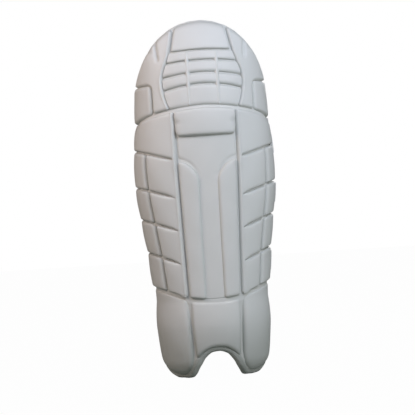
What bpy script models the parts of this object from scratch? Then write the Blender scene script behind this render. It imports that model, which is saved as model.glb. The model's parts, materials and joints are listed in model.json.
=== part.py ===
"""A moulded cricket leg guard: knee, shin and instep sections, hinged at two creases, with three straps.

Metres, +Z up. The front faces -Y and the wearer's leg stands inside, on the +Y side.
Every padded piece is laid out on one curved skin. A place on that skin is (across, height, depth):
across is 0 on the centre line, 1 at the widest line of the side, and above 1 on the wing behind it.
depth is measured inwards from the skin.
"""

import math

import bmesh
import bpy
from mathutils import Vector

# ---------------------------------------------------------------- driving dimensions
INSTEP_HEIGHT = 0.1325  # floor to the instep crease, on the centre line
SHIN_HEIGHT = 0.3295  # instep crease to the knee crease, on the centre line
KNEE_HEIGHT = 0.147  # knee crease to the crown

FOOT_WIDTH = 0.186
INSTEP_WIDTH = 0.200
LOWER_SHIN_WIDTH = 0.212
CALF_WIDTH = 0.244
KNEE_WIDTH = 0.230
CROWN_WIDTH = 0.221

FOOT_BULGE = 0.080  # how far the skin stands ahead of the widest line, on the centre line
INSTEP_BULGE = 0.083
SHIN_BULGE = 0.080
KNEE_BULGE = 0.090
CROWN_BULGE = 0.066

FOOT_TUCK = 0.013  # how far the skin curls in at the floor
FOOT_TUCK_HEIGHT = 0.032

WING_REACH = 0.045  # how far a wing runs behind the widest line
WING_TOE = 0.010  # how far it leans in over that length
FOOT_WING_REACH = 0.024
KNEE_WING_REACH = 0.014
WING_NOTCH_BELOW = 0.040  # where a shin wing starts to draw in, below the knee crease

FACING_THICKNESS = 0.0082
BACKING_THICKNESS = 0.0090
PLATE_THICKNESS = 0.0018
LINING_THICKNESS = 0.0030
ROLL_THICKNESS = 0.0130
LAYER_GAP = 0.0008
EDGE_INSET = 0.0010  # inner layers stop this far inside the facing's edge
GROOVE = 0.0046  # between two facing blocks
BEVEL = 0.0040
CROWNING = 0.0005  # how far the middle of a large panel swells

# knee section
KNEE_CREASE_DROP = 0.027  # crease height lost from the centre line to the widest line
CREASE_GAP = 0.0060
KNEE_FLEX_DEG = 18.0
KNEE_HINGE_Y = -0.030
KNEE_HINGE_SHARE = 0.75  # the hinge's height, as a share of the crease's drop
FIELD_HALF_AT_CREASE = 0.059  # half width of the knee roll field
FIELD_HALF_MIDDLE = 0.068
FIELD_HALF_AT_HAT = 0.0535
FIELD_HALF_AT_CROWN = 0.043
HAT_PANEL_RISE = 0.095  # knee crease to the lower edge of the top hat panel
ROLL_ROW_RISES = (0.0, 0.037, 0.0565, 0.078)  # lower edges of the knee roll rows, above the crease
ROLL_ROW_SAGS = (0.008, 0.009, 0.0065, 0.004)  # drop of each of those edges at the field's border
HAT_PANEL_SAG = 0.003
ROLL_RECESS = 0.0015  # the rolls' faces lie this far below the side panels
ROLL_BEVEL = 0.0030
ROLL_COLUMN_HALF = 0.0255  # centre line to the ridge between two columns
WING_BLOCK_RISE = 0.041  # knee crease at the centre to the top of the wing block
WING_BLOCK_FROM = 0.088  # centre line to the inner side of the wing block
DOME_RISE = 0.110  # widest line to the crown

# shin section
TAB_HEIGHT = 0.0505
TAB_HALF_WIDTH = 0.054
TAB_PROUD = 0.003
TAB_CORNER = 0.010
PANEL_RECESS = 0.0045
CENTRE_HALF_TOP = 0.0520
CENTRE_HALF_BOTTOM = 0.0455
STRIP_HALF = 0.0155
SHOULDER_HEIGHT = 0.028
SHOULDER_POWER = 2.2  # how square the shoulder's curve is
TOP_PANEL_HEIGHT = 0.0925  # knee crease to the first groove, on the centre line
ROW_SHARES = (0.0, 0.2425, 0.485, 0.725, 1.0)  # heights of the side grooves, instep crease to first groove
ROW_SLOPES = (0.36, 0.40, 0.37, 0.33, 0.31)  # rise of each of those grooves for each metre outwards
SIDE_ROWS = len(ROW_SHARES) - 1
WING_SLOPE = 0.15
CENTRE_SAG = 0.004  # rise of the instep crease from the centre line to the centre column's edge
OUTER_COLUMN_BOTTOM = 0.58  # across value of the groove between the inner and outer blocks
OUTER_COLUMN_TOP = 0.66

PLATE_HALF_WIDTH = 0.085
PLATE_MARGIN = 0.030  # the impact plate stops this far from both creases
INNER_ROLL_FROM = 0.012  # the rolls behind the shin, from the centre line
INNER_ROLL_TO = 0.050
INNER_ROLL_FOOT = 0.025  # above the instep crease
INNER_ROLL_HEAD = 0.040  # below the knee crease
CUP_RISE = 0.012  # knee crease to the lower edge of the knee cup

# instep section
INSTEP_HINGE_DEPTH = 0.014
ARCH_HEIGHT = 0.045
ARCH_HALF_WIDTH = 0.042
ARCH_ROLL = 0.0075  # how far the facing stops short of the backing's arch edge
SEAM_HALF_TOP = 0.0465
SEAM_HALF_BOTTOM = 0.0410
LOBE_LIFT = 0.0030  # the facing's lower edge above the floor

# straps
STRAP_WIDTH = 0.034
STRAP_THICKNESS = 0.0030
STRAP_BOW = 0.030  # how far the strap bows behind the wings
STRAP_OVERLAP = 0.026  # length of strap lying on the loop patch
PATCH_THICKNESS = 0.0020
ANCHOR_LENGTH = 0.020
ANCHOR_TAIL = 0.0040  # how far an anchor sticks out behind its wing
KNEE_STRAP_BELOW_CREASE = 0.066
CALF_STRAP_HEIGHT = 0.310
ANKLE_STRAP_HEIGHT = 0.191

# fineness of the meshes
COLUMN_LINES = [0.1 * i for i in range(11)] + [0.85, 1.35, 1.70]  # across values where columns of points run
ROW_STEP = 0.034

# ---------------------------------------------------------------- places worked out from them
INSTEP_CREASE = INSTEP_HEIGHT
KNEE_CREASE = INSTEP_HEIGHT + SHIN_HEIGHT
CROWN = KNEE_CREASE + KNEE_HEIGHT
DOME_CENTRE = CROWN - DOME_RISE
FIRST_GROOVE = KNEE_CREASE - TOP_PANEL_HEIGHT
ROW_SPAN = FIRST_GROOVE - INSTEP_CREASE - CENTRE_SAG

BACKING_DEPTH = FACING_THICKNESS + LAYER_GAP
PLATE_DEPTH = BACKING_DEPTH + BACKING_THICKNESS + LAYER_GAP
LINING_DEPTH = PLATE_DEPTH + PLATE_THICKNESS + LAYER_GAP
INNER_DEPTH = LINING_DEPTH + LINING_THICKNESS + LAYER_GAP


def smooth_through(stations, place):
    """The value at place of a smooth curve through (place, value) stations. Its ends are parabolas."""
    if place <= stations[0][0]:
        return stations[0][1]
    if place >= stations[-1][0]:
        return stations[-1][1]

    def slope(i):
        """Harmonic mean of the two neighbouring slopes, so that the curve never overshoots."""
        if i in (0, len(stations) - 1):
            inward = 1 if i == 0 else -1
            (a, va), (b, vb) = stations[i], stations[i + inward]
            return 2 * (vb - va) / (b - a) - slope(i + inward)
        (a, va), (b, vb), (c, vc) = stations[i - 1 : i + 2]
        before, after = (vb - va) / (b - a), (vc - vb) / (c - b)
        return 2 * before * after / (before + after) if before * after > 0 else 0.0

    i = next(i for i in range(len(stations) - 1) if place <= stations[i + 1][0])
    (a, va), (b, vb) = stations[i], stations[i + 1]
    length = b - a
    t = (place - a) / length
    return (
        va * (1 + 2 * t) * (1 - t) ** 2
        + vb * t * t * (3 - 2 * t)
        + slope(i) * length * t * (1 - t) ** 2
        - slope(i + 1) * length * t * t * (1 - t)
    )


def between(low, high, t):
    t = min(1.0, max(0.0, t))
    return low + (high - low) * t


# ---------------------------------------------------------------- the skin
def half_width(z):
    stations = [
        (0.0, FOOT_WIDTH / 2),
        (INSTEP_CREASE, INSTEP_WIDTH / 2),
        (INSTEP_CREASE + 0.22 * SHIN_HEIGHT, LOWER_SHIN_WIDTH / 2),
        (INSTEP_CREASE + 0.66 * SHIN_HEIGHT, CALF_WIDTH / 2),
        (KNEE_CREASE, KNEE_WIDTH / 2),
        (CROWN, CROWN_WIDTH / 2),
    ]
    tuck = FOOT_TUCK * max(0.0, 1 - z / FOOT_TUCK_HEIGHT) ** 2
    return smooth_through(stations, z) - tuck


def bulge(z):
    stations = [
        (0.0, FOOT_BULGE),
        (0.6 * INSTEP_CREASE, INSTEP_BULGE),
        (INSTEP_CREASE + 0.35 * SHIN_HEIGHT, SHIN_BULGE),
        (KNEE_CREASE + 0.2 * KNEE_HEIGHT, KNEE_BULGE),
        (CROWN, CROWN_BULGE),
    ]
    tuck = FOOT_TUCK * max(0.0, 1 - z / FOOT_TUCK_HEIGHT) ** 2
    return smooth_through(stations, z) - tuck


def rear_across(z):
    """The across value of the wing's rear edge."""
    reach = smooth_through(
        [
            (0.0, FOOT_WING_REACH),
            (INSTEP_CREASE, WING_REACH),
            (KNEE_CREASE - WING_NOTCH_BELOW, WING_REACH),
            (KNEE_CREASE - WING_NOTCH_BELOW / 2, KNEE_WING_REACH),
            (KNEE_CREASE, KNEE_WING_REACH),
        ],
        z,
    )
    return 1 + reach / WING_REACH


def skin_point(across, z, depth):
    """World place of a point of the right-hand half, before the whole guard is centred."""
    width = half_width(z)
    front = bulge(z)
    if across <= 1:
        angle = across * math.pi / 2
        x = width * math.sin(angle)
        y = -front * math.cos(angle)
        nx = front * math.sin(angle)
        ny = -width * math.cos(angle)
    else:
        back = across - 1
        x = width - WING_TOE * back**2
        y = back * WING_REACH
        nx = WING_REACH
        ny = 2 * WING_TOE * back
    size = math.hypot(nx, ny)
    return x - nx / size * depth, y - ny / size * depth, z


def across_at(x, z):
    """The across value of a place x from the centre line, on the front."""
    return math.asin(min(1.0, max(-1.0, x / half_width(z)))) * 2 / math.pi


def x_at(across, z):
    return half_width(z) * math.sin(min(1.0, abs(across)) * math.pi / 2)


def y_at(across, z):
    return skin_point(abs(across), z, 0.0)[1]


def across_step(across, z, distance):
    """How much across changes over this distance along the skin."""
    if abs(across) > 1:
        return distance / WING_REACH
    angle = abs(across) * math.pi / 2
    per_across = math.hypot(half_width(z) * math.cos(angle), bulge(z) * math.sin(angle))
    return distance / (per_across * math.pi / 2)


# ---------------------------------------------------------------- lines on the skin
def outward_rise(across, z, slope):
    """Rise of a side groove from the centre column outwards, and on along the wing."""
    rise = slope * max(0.0, x_at(across, z) - CENTRE_HALF_BOTTOM)
    return rise + WING_SLOPE * WING_REACH * max(0.0, abs(across) - 1)


def instep_crease(across):
    x = x_at(across, INSTEP_CREASE)
    sag = CENTRE_SAG * min(1.0, x / CENTRE_HALF_BOTTOM) ** 2
    return INSTEP_CREASE + sag + outward_rise(across, INSTEP_CREASE, ROW_SLOPES[0])


def side_line(number):
    """The groove above side row `number`, counted from the instep crease, as a function of across."""
    level = INSTEP_CREASE + CENTRE_SAG + ROW_SHARES[number] * ROW_SPAN
    if number == 0:
        return instep_crease
    return lambda across: level + outward_rise(across, level, ROW_SLOPES[number])


def knee_crease(across):
    return KNEE_CREASE - KNEE_CREASE_DROP * min(1.0, abs(across)) ** 1.5


def crease_half_gap(across):
    """Half the clearance at the knee crease. Behind the hinge it opens so that the wings can close."""
    behind = y_at(across, KNEE_CREASE - KNEE_CREASE_DROP) - KNEE_HINGE_Y
    closing = max(0.0, behind) * math.sin(math.radians(KNEE_FLEX_DEG))
    return CREASE_GAP / 2 + max(0.0, closing - CREASE_GAP / 2) / 2


def shin_top(across):
    return knee_crease(across) - crease_half_gap(across)


def knee_bottom(across):
    return knee_crease(across) + crease_half_gap(across)


def dome_edge(across):
    if abs(across) <= 1:
        return DOME_CENTRE + DOME_RISE * math.cos(across * math.pi / 2)
    wing = KNEE_WING_REACH / WING_REACH
    fall = (min(abs(across), 1 + wing) - 1) / wing
    room = DOME_CENTRE - knee_bottom(1 + wing) - CREASE_GAP
    return DOME_CENTRE - room * (1 - math.sqrt(max(0.0, 1 - fall**2)))


def centre_half(z):
    return between(
        CENTRE_HALF_BOTTOM, CENTRE_HALF_TOP, (z - INSTEP_CREASE) / (FIRST_GROOVE - INSTEP_CREASE)
    )


def outer_column(z):
    return between(
        OUTER_COLUMN_BOTTOM, OUTER_COLUMN_TOP, (z - INSTEP_CREASE) / (FIRST_GROOVE - INSTEP_CREASE)
    )


def field_half(z):
    stations = [
        (KNEE_CREASE, FIELD_HALF_AT_CREASE),
        (KNEE_CREASE + 0.3 * KNEE_HEIGHT, FIELD_HALF_MIDDLE),
        (KNEE_CREASE + HAT_PANEL_RISE, FIELD_HALF_AT_HAT),
        (CROWN, FIELD_HALF_AT_CROWN),
    ]
    return smooth_through(stations, z)


def field_line(rise, sag):
    """A line across the knee roll field, this far above the crease's middle, lower at its ends."""
    return lambda across: KNEE_CREASE + rise - sag * (x_at(across, KNEE_CREASE) / FIELD_HALF_MIDDLE) ** 2


def shoulder_line(x):
    """Top edge of a centre bolster: level outside, rounded down to the centre strip."""
    share = between(0.0, 1.0, (abs(x) - STRIP_HALF) / (centre_half(FIRST_GROOVE) - STRIP_HALF))
    return FIRST_GROOVE + CENTRE_SAG / 2 - SHOULDER_HEIGHT * (1 - share) ** SHOULDER_POWER


def shoulder_half(z):
    """Half width of the recessed panel beside the shoulders: the same curve, read the other way."""
    fall = between(0.0, 1.0, (shoulder_line(CENTRE_HALF_TOP) - z) / SHOULDER_HEIGHT)
    return STRIP_HALF + (centre_half(z) - STRIP_HALF) * (1 - fall ** (1 / SHOULDER_POWER))


def arch_line(x, rise=0.0):
    """Edge of the instep arch. rise moves it outwards."""
    half = ARCH_HALF_WIDTH + rise
    if abs(x) >= half:
        return 0.0
    return (ARCH_HEIGHT + rise) * math.sqrt(1 - (x / half) ** 2)


# ---------------------------------------------------------------- building solids
def material(name, colour, roughness, metallic=0.0):
    made = bpy.data.materials.new(name)
    made.use_nodes = True
    shader = made.node_tree.nodes["Principled BSDF"]
    shader.inputs["Base Color"].default_value = (*colour, 1.0)
    shader.inputs["Roughness"].default_value = roughness
    shader.inputs["Metallic"].default_value = metallic
    return made


def with_bevel(shares, bevel_share):
    """Shares between 0 and 1, with the ends and, for a bevelled piece, one more line near each end."""
    inner = [share for share in shares if bevel_share * 1.6 + 0.02 < share < 1 - bevel_share * 1.6 - 0.02]
    if bevel_share:
        inner = [bevel_share, *inner, 1 - bevel_share]
    return [0.0, *inner, 1.0]


def column_shares(low, high, bevel_share=0.0):
    """Where the common column lines cross a piece that runs from low to high, as shares of its width."""
    lines = sorted({-line for line in COLUMN_LINES} | set(COLUMN_LINES))
    return with_bevel([(line - low) / (high - low) for line in lines], bevel_share)


def row_shares(tall, bevel_share=0.0):
    count = max(2, math.ceil(tall / ROW_STEP))
    return with_bevel([i / count for i in range(1, count)], bevel_share)


def add_object(name, bm, looks, frame):
    """A named object from bm, held by the empty `frame`."""
    bmesh.ops.recalc_face_normals(bm, faces=bm.faces)
    for vertex in bm.verts:
        vertex.co -= frame["place"]
    mesh = bpy.data.meshes.new(name)
    bm.to_mesh(mesh)
    bm.free()
    mesh.materials.append(looks)
    mesh.shade_smooth()
    mesh.set_sharp_from_angle(angle=math.radians(35))
    made = bpy.data.objects.new(name, mesh)
    bpy.context.scene.collection.objects.link(made)
    made.parent = frame["empty"]
    return made


def closed_grid(bm, outer, inner):
    """Joins two grids of points, outer and inner, into one closed box."""
    rows, columns = len(outer), len(outer[0])
    top = [[bm.verts.new(p) for p in row] for row in outer]
    under = [[bm.verts.new(p) for p in row] for row in inner]
    for i in range(rows - 1):
        for j in range(columns - 1):
            bm.faces.new((top[i][j], top[i][j + 1], top[i + 1][j + 1], top[i + 1][j]))
            bm.faces.new((under[i][j], under[i + 1][j], under[i + 1][j + 1], under[i][j + 1]))
    border = [(0, j) for j in range(columns)] + [(i, columns - 1) for i in range(1, rows)]
    border += [(rows - 1, j) for j in range(columns - 2, -1, -1)] + [(i, 0) for i in range(rows - 2, 0, -1)]
    for (i, j), (k, m) in zip(border, border[1:] + border[:1], strict=True):
        bm.faces.new((top[i][j], under[i][j], under[k][m], top[k][m]))


def slab(
    name,
    side,
    across_low,
    across_high,
    z_low,
    z_high,
    depths,
    looks,
    frame,
    bevel=BEVEL,
    rows=None,
    columns=None,
    lines=None,
    crown=0.0,
):
    """One padded piece of the guard.

    across_low and across_high are functions of z, z_low and z_high are functions of across. side is 1 on
    the right and -1 on the left, which mirrors it. depths is (outer face, inner face). The outer edges
    are chamfered by bevel, and crown raises the middle of the outer face. rows and columns say where the
    mesh lines run, as shares of the height and width, or lines(z) gives the columns' across values.
    """
    middle = (across_low(z_low(0.5)) + across_high(z_low(0.5))) / 2
    tall = z_high(middle) - z_low(middle)
    z_middle = z_low(middle) + tall / 2
    low, high = across_low(z_middle), across_high(z_middle)
    if lines:
        columns = [(line - low) / (high - low) for line in lines(z_middle)]
    columns = columns or column_shares(low, high, across_step(middle, z_middle, bevel) / (high - low))
    rows = rows or row_shares(tall, bevel / tall)

    outer, inner = [], []
    for up in rows:
        outer.append([])
        inner.append([])
        for number, over in enumerate(columns):
            z = z_middle
            for _ in range(12):
                across = across_low(z) + over * (across_high(z) - across_low(z))
                across = lines(z)[number] if lines else across
                z = z_low(across) + up * (z_high(across) - z_low(across))
            on_edge = min(up, 1 - up, over, 1 - over) < 1e-6
            lift = crown * (1 - (2 * up - 1) ** 2) * (1 - (2 * over - 1) ** 2)
            depth = depths[0] + (min(bevel, (depths[1] - depths[0]) / 2) if on_edge else -lift)
            for grid, at in ((outer, depth), (inner, depths[1])):
                x, y, height = skin_point(abs(across), z, at)
                grid[-1].append((side * math.copysign(x, across), y, height))
    bm = bmesh.new()
    closed_grid(bm, outer, inner)
    return add_object(name, bm, looks, frame)


def from_x(half):
    """An across edge from a half width that is a function of z."""
    return lambda z: across_at(half(z), z)


def shifted(edge, distance):
    """An across edge moved outwards by a distance along the skin."""
    return lambda z: edge(z) + across_step(edge(z), z, distance)


def raised(line, distance):
    """A height line moved up."""
    return lambda across: line(across) + distance


def mirrored(edge):
    return lambda z: -edge(z)


# ---------------------------------------------------------------- sections
SIDES = (("left", -1), ("right", 1))
HALF_GROOVE = GROOVE / 2


def full_layer(name, z_low, z_high, depths, looks, frame, inset=0.0, reach=rear_across):
    """A layer that runs from one wing's rear edge round the front to the other."""
    edge = shifted(reach, -inset)
    slab(name, 1, mirrored(edge), edge, z_low, z_high, depths, looks, frame, bevel=0.0)


def build_knee(frame, looks):
    facing = (0.0, FACING_THICKNESS)
    column = from_x(lambda z: ROLL_COLUMN_HALF)
    field = from_x(field_half)
    hat_line = field_line(HAT_PANEL_RISE, HAT_PANEL_SAG)
    field_edge = shifted(field, -HALF_GROOVE)
    slab(
        "top_hat_centre_panel", 1, mirrored(field_edge), field_edge, raised(hat_line, HALF_GROOVE),
        dome_edge, facing, looks["facing"], frame, crown=2 * CROWNING,
    )

    lines = [field_line(rise, sag) for rise, sag in zip(ROLL_ROW_RISES, ROLL_ROW_SAGS, strict=True)]
    lines[0] = raised(knee_bottom, 0.0)
    lines.append(hat_line)
    for number in range(len(lines) - 1):
        low = lines[number] if number == 0 else raised(lines[number], HALF_GROOVE)
        high = raised(lines[number + 1], -HALF_GROOVE)
        row = len(lines) - 1 - number
        depths = (ROLL_RECESS, FACING_THICKNESS)
        inner = shifted(column, -HALF_GROOVE)
        slab(
            f"knee_roll_centre_{row}", 1, mirrored(inner), inner, low, high, depths, looks["facing"], frame,
            bevel=ROLL_BEVEL,
        )
        for word, side in SIDES:
            slab(
                f"knee_roll_{word}_{row}", side, shifted(column, HALF_GROOVE), field_edge, low, high,
                depths, looks["facing"], frame, bevel=ROLL_BEVEL,
            )

    block_top = KNEE_CREASE + WING_BLOCK_RISE
    step_at = across_at(WING_BLOCK_FROM, block_top)
    half_step = across_step(step_at, block_top, HALF_GROOVE)
    meet = (block_top + HALF_GROOVE + BEVEL - DOME_CENTRE) / DOME_RISE
    panel_end = math.acos(between(0.0, 1.0, meet)) * 2 / math.pi  # where the dome's edge meets the block

    def panel_low(across):
        """The side panel reaches down to the crease, but only as far as the wing block on its outer part."""
        return knee_bottom(across) if across < step_at else block_top + HALF_GROOVE

    panel_start = shifted(field, HALF_GROOVE)

    def panel_lines(z):
        start, inner_end = panel_start(z), step_at - half_step
        inner = [start + (inner_end - start) * share for share in (0.0, 0.2, 0.6, 1.0)]
        outer = [step_at + (panel_end - step_at) * share for share in (0.005, 0.22, 0.45, 0.7, 0.9, 1.0)]
        return inner + outer

    for word, side in SIDES:
        slab(
            f"knee_side_panel_{word}", side, panel_start, lambda z: panel_end, panel_low, dome_edge, facing,
            looks["facing"], frame, lines=panel_lines, rows=with_bevel([0.2, 0.4, 0.6, 0.8], 0.05),
        )
        slab(
            f"knee_wing_block_{word}", side, lambda z: step_at + half_step,
            lambda z: 1 + KNEE_WING_REACH / WING_REACH, knee_bottom,
            lambda across: min(block_top - HALF_GROOVE, dome_edge(across)),
            facing, looks["facing"], frame,
        )

    knee_reach = lambda z: 1 + KNEE_WING_REACH / WING_REACH
    full_layer(
        "knee_backing", knee_bottom, raised(dome_edge, -EDGE_INSET),
        (BACKING_DEPTH, BACKING_DEPTH + BACKING_THICKNESS), looks["foam"], frame, inset=EDGE_INSET, reach=knee_reach,
    )
    full_layer(
        "knee_lining", knee_bottom, raised(dome_edge, -EDGE_INSET),
        (PLATE_DEPTH, PLATE_DEPTH + LINING_THICKNESS), looks["lining"], frame, inset=EDGE_INSET, reach=knee_reach,
    )
    cup_depth = PLATE_DEPTH + LINING_THICKNESS + LAYER_GAP
    cup = from_x(lambda z: FIELD_HALF_AT_HAT)
    slab(
        "knee_cup", 1, mirrored(cup), cup, raised(field_line(0.0, 0.0), CUP_RISE),
        field_line(HAT_PANEL_RISE, 0.0), (cup_depth, cup_depth + ROLL_THICKNESS), looks["lining"], frame,
        bevel=0.0, crown=0.0,
    )


def build_shin(frame, looks):
    facing = (0.0, FACING_THICKNESS)
    centre = from_x(centre_half)
    centre_inner = shifted(centre, -HALF_GROOVE)
    centre_outer = shifted(centre, HALF_GROOVE)
    first = side_line(SIDE_ROWS)

    tab_edge = lambda z: min(across_at(TAB_HALF_WIDTH, z), centre_inner(z))
    tab_low_level = KNEE_CREASE - TAB_HEIGHT

    def tab_low(across):
        into_corner = max(0.0, x_at(across, tab_low_level) - (TAB_HALF_WIDTH - TAB_CORNER)) / TAB_CORNER
        return tab_low_level + TAB_CORNER * (1 - math.sqrt(max(0.0, 1 - min(1.0, into_corner) ** 2)))

    slab(
        "shin_tab", 1, mirrored(tab_edge), tab_edge, tab_low, shin_top, (-TAB_PROUD, FACING_THICKNESS),
        looks["facing"], frame, crown=2 * CROWNING,
    )

    panel_top = lambda across: tab_low(across) - HALF_GROOVE
    panel_edge = lambda z: across_at(shoulder_half(z), z) - across_step(0.2, z, HALF_GROOVE)
    shoulder_top = shoulder_line(CENTRE_HALF_TOP)
    shoulder_foot = shoulder_top - SHOULDER_HEIGHT
    low, high = instep_crease(0) + CREASE_GAP / 2, panel_top(0)
    levels = [low + (shoulder_foot - low) * share for share in (0.0, 0.03, 0.2, 0.4, 0.6, 0.8, 1.0)]
    levels += [shoulder_foot + SHOULDER_HEIGHT * share for share in (0.2, 0.45, 0.7, 0.87, 0.97, 1.05)]
    levels += [shoulder_top + (high - shoulder_top) * share for share in (0.4, 0.88, 1.0)]
    slab(
        "centre_panel", 1, mirrored(panel_edge), panel_edge, raised(instep_crease, CREASE_GAP / 2), panel_top,
        (PANEL_RECESS, FACING_THICKNESS), looks["facing"], frame, bevel=0.002,
        rows=[(level - low) / (high - low) for level in levels],
        columns=with_bevel([0.23, 0.41, 0.59, 0.77], 0.04),
    )
    for word, side in SIDES:
        slab(
            f"centre_bolster_{word}", side, shifted(from_x(lambda z: STRIP_HALF), HALF_GROOVE), centre_inner,
            raised(instep_crease, CREASE_GAP / 2),
            lambda across: shoulder_line(x_at(across, FIRST_GROOVE)) - HALF_GROOVE,
            facing, looks["facing"], frame, crown=CROWNING,
        )
        slab(
            f"shin_top_panel_{word}", side, centre_outer, rear_across, raised(first, HALF_GROOVE), shin_top, facing,
            looks["facing"], frame, crown=CROWNING,
        )
        for row in range(SIDE_ROWS):
            low_line = side_line(SIDE_ROWS - 1 - row)
            high_line = side_line(SIDE_ROWS - row)
            foot_gap = CREASE_GAP / 2 if row == SIDE_ROWS - 1 else HALF_GROOVE
            for place, inside, outside in (
                ("inner", centre_outer, shifted(outer_column, -HALF_GROOVE)),
                ("outer", shifted(outer_column, HALF_GROOVE), rear_across),
            ):
                slab(
                    f"side_bolster_{place}_{word}_{row + 1}", side, inside, outside,
                    raised(low_line, foot_gap), raised(high_line, -HALF_GROOVE), facing, looks["facing"],
                    frame,
                )

    bottom = raised(instep_crease, CREASE_GAP / 2)
    full_layer(
        "shin_backing", bottom, shin_top, (BACKING_DEPTH, BACKING_DEPTH + BACKING_THICKNESS), looks["foam"],
        frame, inset=EDGE_INSET,
    )
    full_layer(
        "shin_lining", bottom, shin_top, (LINING_DEPTH, LINING_DEPTH + LINING_THICKNESS), looks["lining"],
        frame, inset=EDGE_INSET,
    )
    plate_edge = from_x(lambda z: PLATE_HALF_WIDTH)
    slab(
        "shin_impact_plate", 1, mirrored(plate_edge), plate_edge, raised(bottom, PLATE_MARGIN),
        raised(shin_top, -PLATE_MARGIN),
        (PLATE_DEPTH, PLATE_DEPTH + PLATE_THICKNESS), looks["plate"], frame, bevel=0.0,
    )
    for word, side in SIDES:
        slab(
            f"inner_shin_roll_{word}", side, from_x(lambda z: INNER_ROLL_FROM),
            from_x(lambda z: INNER_ROLL_TO),
            raised(bottom, INNER_ROLL_FOOT), lambda across: KNEE_CREASE - INNER_ROLL_HEAD,
            (INNER_DEPTH, INNER_DEPTH + ROLL_THICKNESS), looks["lining"], frame, bevel=0.0,
        )


def build_instep(frame, looks):
    facing = (0.0, FACING_THICKNESS)
    top = raised(instep_crease, -CREASE_GAP / 2)
    seam_half = lambda z: between(SEAM_HALF_BOTTOM, SEAM_HALF_TOP, (z - 0.025) / (INSTEP_CREASE - 0.025))
    seam = from_x(seam_half)

    def arch(rise):
        return lambda across: arch_line(x_at(across, 0.5 * ARCH_HEIGHT), rise)

    centre_edge = shifted(seam, -HALF_GROOVE)
    slab(
        "instep_centre_panel", 1, mirrored(centre_edge), centre_edge, arch(ARCH_ROLL), top, facing,
        looks["facing"], frame, crown=CROWNING, columns=with_bevel([i / 8 for i in range(1, 8)], 0.04),
    )

    def lobe_inner(z):
        """The seam, pushed outwards by the arch low down."""
        arch_height = ARCH_HEIGHT + ARCH_ROLL
        share = min(1.0, z / arch_height)
        arch_half = (ARCH_HALF_WIDTH + ARCH_ROLL) * math.sqrt(1 - share**2)
        return max(seam(z) + across_step(seam(z), z, HALF_GROOVE), across_at(arch_half, z))

    for word, side in SIDES:
        slab(
            f"instep_side_panel_{word}", side, lobe_inner, rear_across, lambda across: LOBE_LIFT, top, facing,
            looks["facing"], frame, rows=with_bevel([0.08, 0.13, 0.19, 0.26, 0.5, 0.75], 0.03),
        )
    edge = shifted(rear_across, -EDGE_INSET)
    lines = sorted({-line for line in COLUMN_LINES} | set(COLUMN_LINES) | {-0.05, 0.05, -0.15, 0.15, -0.25, 0.25})
    reach = edge(INSTEP_CREASE / 2)
    slab(
        "instep_backing", 1, mirrored(edge), edge, arch(0.0), top,
        (BACKING_DEPTH, LINING_DEPTH + LINING_THICKNESS), looks["foam"], frame, bevel=0.0,
        columns=with_bevel([(line + reach) / (2 * reach) for line in lines], 0.0),
        rows=with_bevel([0.05, 0.1, 0.15, 0.2, 0.26, 0.5, 0.75], 0.0),
    )


# ---------------------------------------------------------------- straps
def ribbon(name, rows, thickness, looks, frame):
    """A flat strap standing on edge. rows is [(height, [(x, y), ...]), ...], its middle line at each height."""
    outer, inner = [], []
    for z, line in rows:
        outer.append([])
        inner.append([])
        for i, (x, y) in enumerate(line):
            before, after = line[max(0, i - 1)], line[min(len(line) - 1, i + 1)]
            along_x, along_y = after[0] - before[0], after[1] - before[1]
            size = math.hypot(along_x, along_y)
            nx, ny = -along_y / size * thickness / 2, along_x / size * thickness / 2
            outer[-1].append((x + nx, y + ny, z))
            inner[-1].append((x - nx, y - ny, z))
    bm = bmesh.new()
    closed_grid(bm, outer, inner)
    return add_object(name, bm, looks, frame)


def strap_hinge(z):
    """The sewn line that a strap swings on, behind the left wing's inner face."""
    depth = INNER_DEPTH + PATCH_THICKNESS / 2
    tail = rear_across(z) + ANCHOR_TAIL / WING_REACH
    x, y, _ = skin_point(tail, z, depth)
    return -x, y + STRAP_THICKNESS


def strap_line(hinge, z):
    """The strap's middle line: from its sewn edge round the back, and onto the right wing's loop patch."""
    stack = PATCH_THICKNESS + 2 * LAYER_GAP + STRAP_THICKNESS / 2
    start_x, start_y = hinge
    rear = rear_across(z)
    corner_x, corner_y, _ = skin_point(rear, z, -stack)
    lap = STRAP_OVERLAP / WING_REACH
    lap_points = [skin_point(rear - lap * share, z, -stack)[:2] for share in (0.0, 0.35, 0.7, 1.0)]
    back_y = max(start_y, corner_y) + STRAP_BOW

    # the bow is half a superellipse from the sewn edge to the wing's corner
    middle_x, half = (start_x + corner_x) / 2, (corner_x - start_x) / 2
    count = 20
    bow = []
    for i in range(count + 1):
        angle = math.pi * (1 - i / count)
        x = middle_x + half * math.copysign(abs(math.cos(angle)) ** 0.75, math.cos(angle))
        foot = between(start_y, corner_y, i / count)
        bow.append((x, foot + (back_y - foot) * math.sin(angle) ** 0.75))
    return bow + lap_points[1:]


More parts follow.
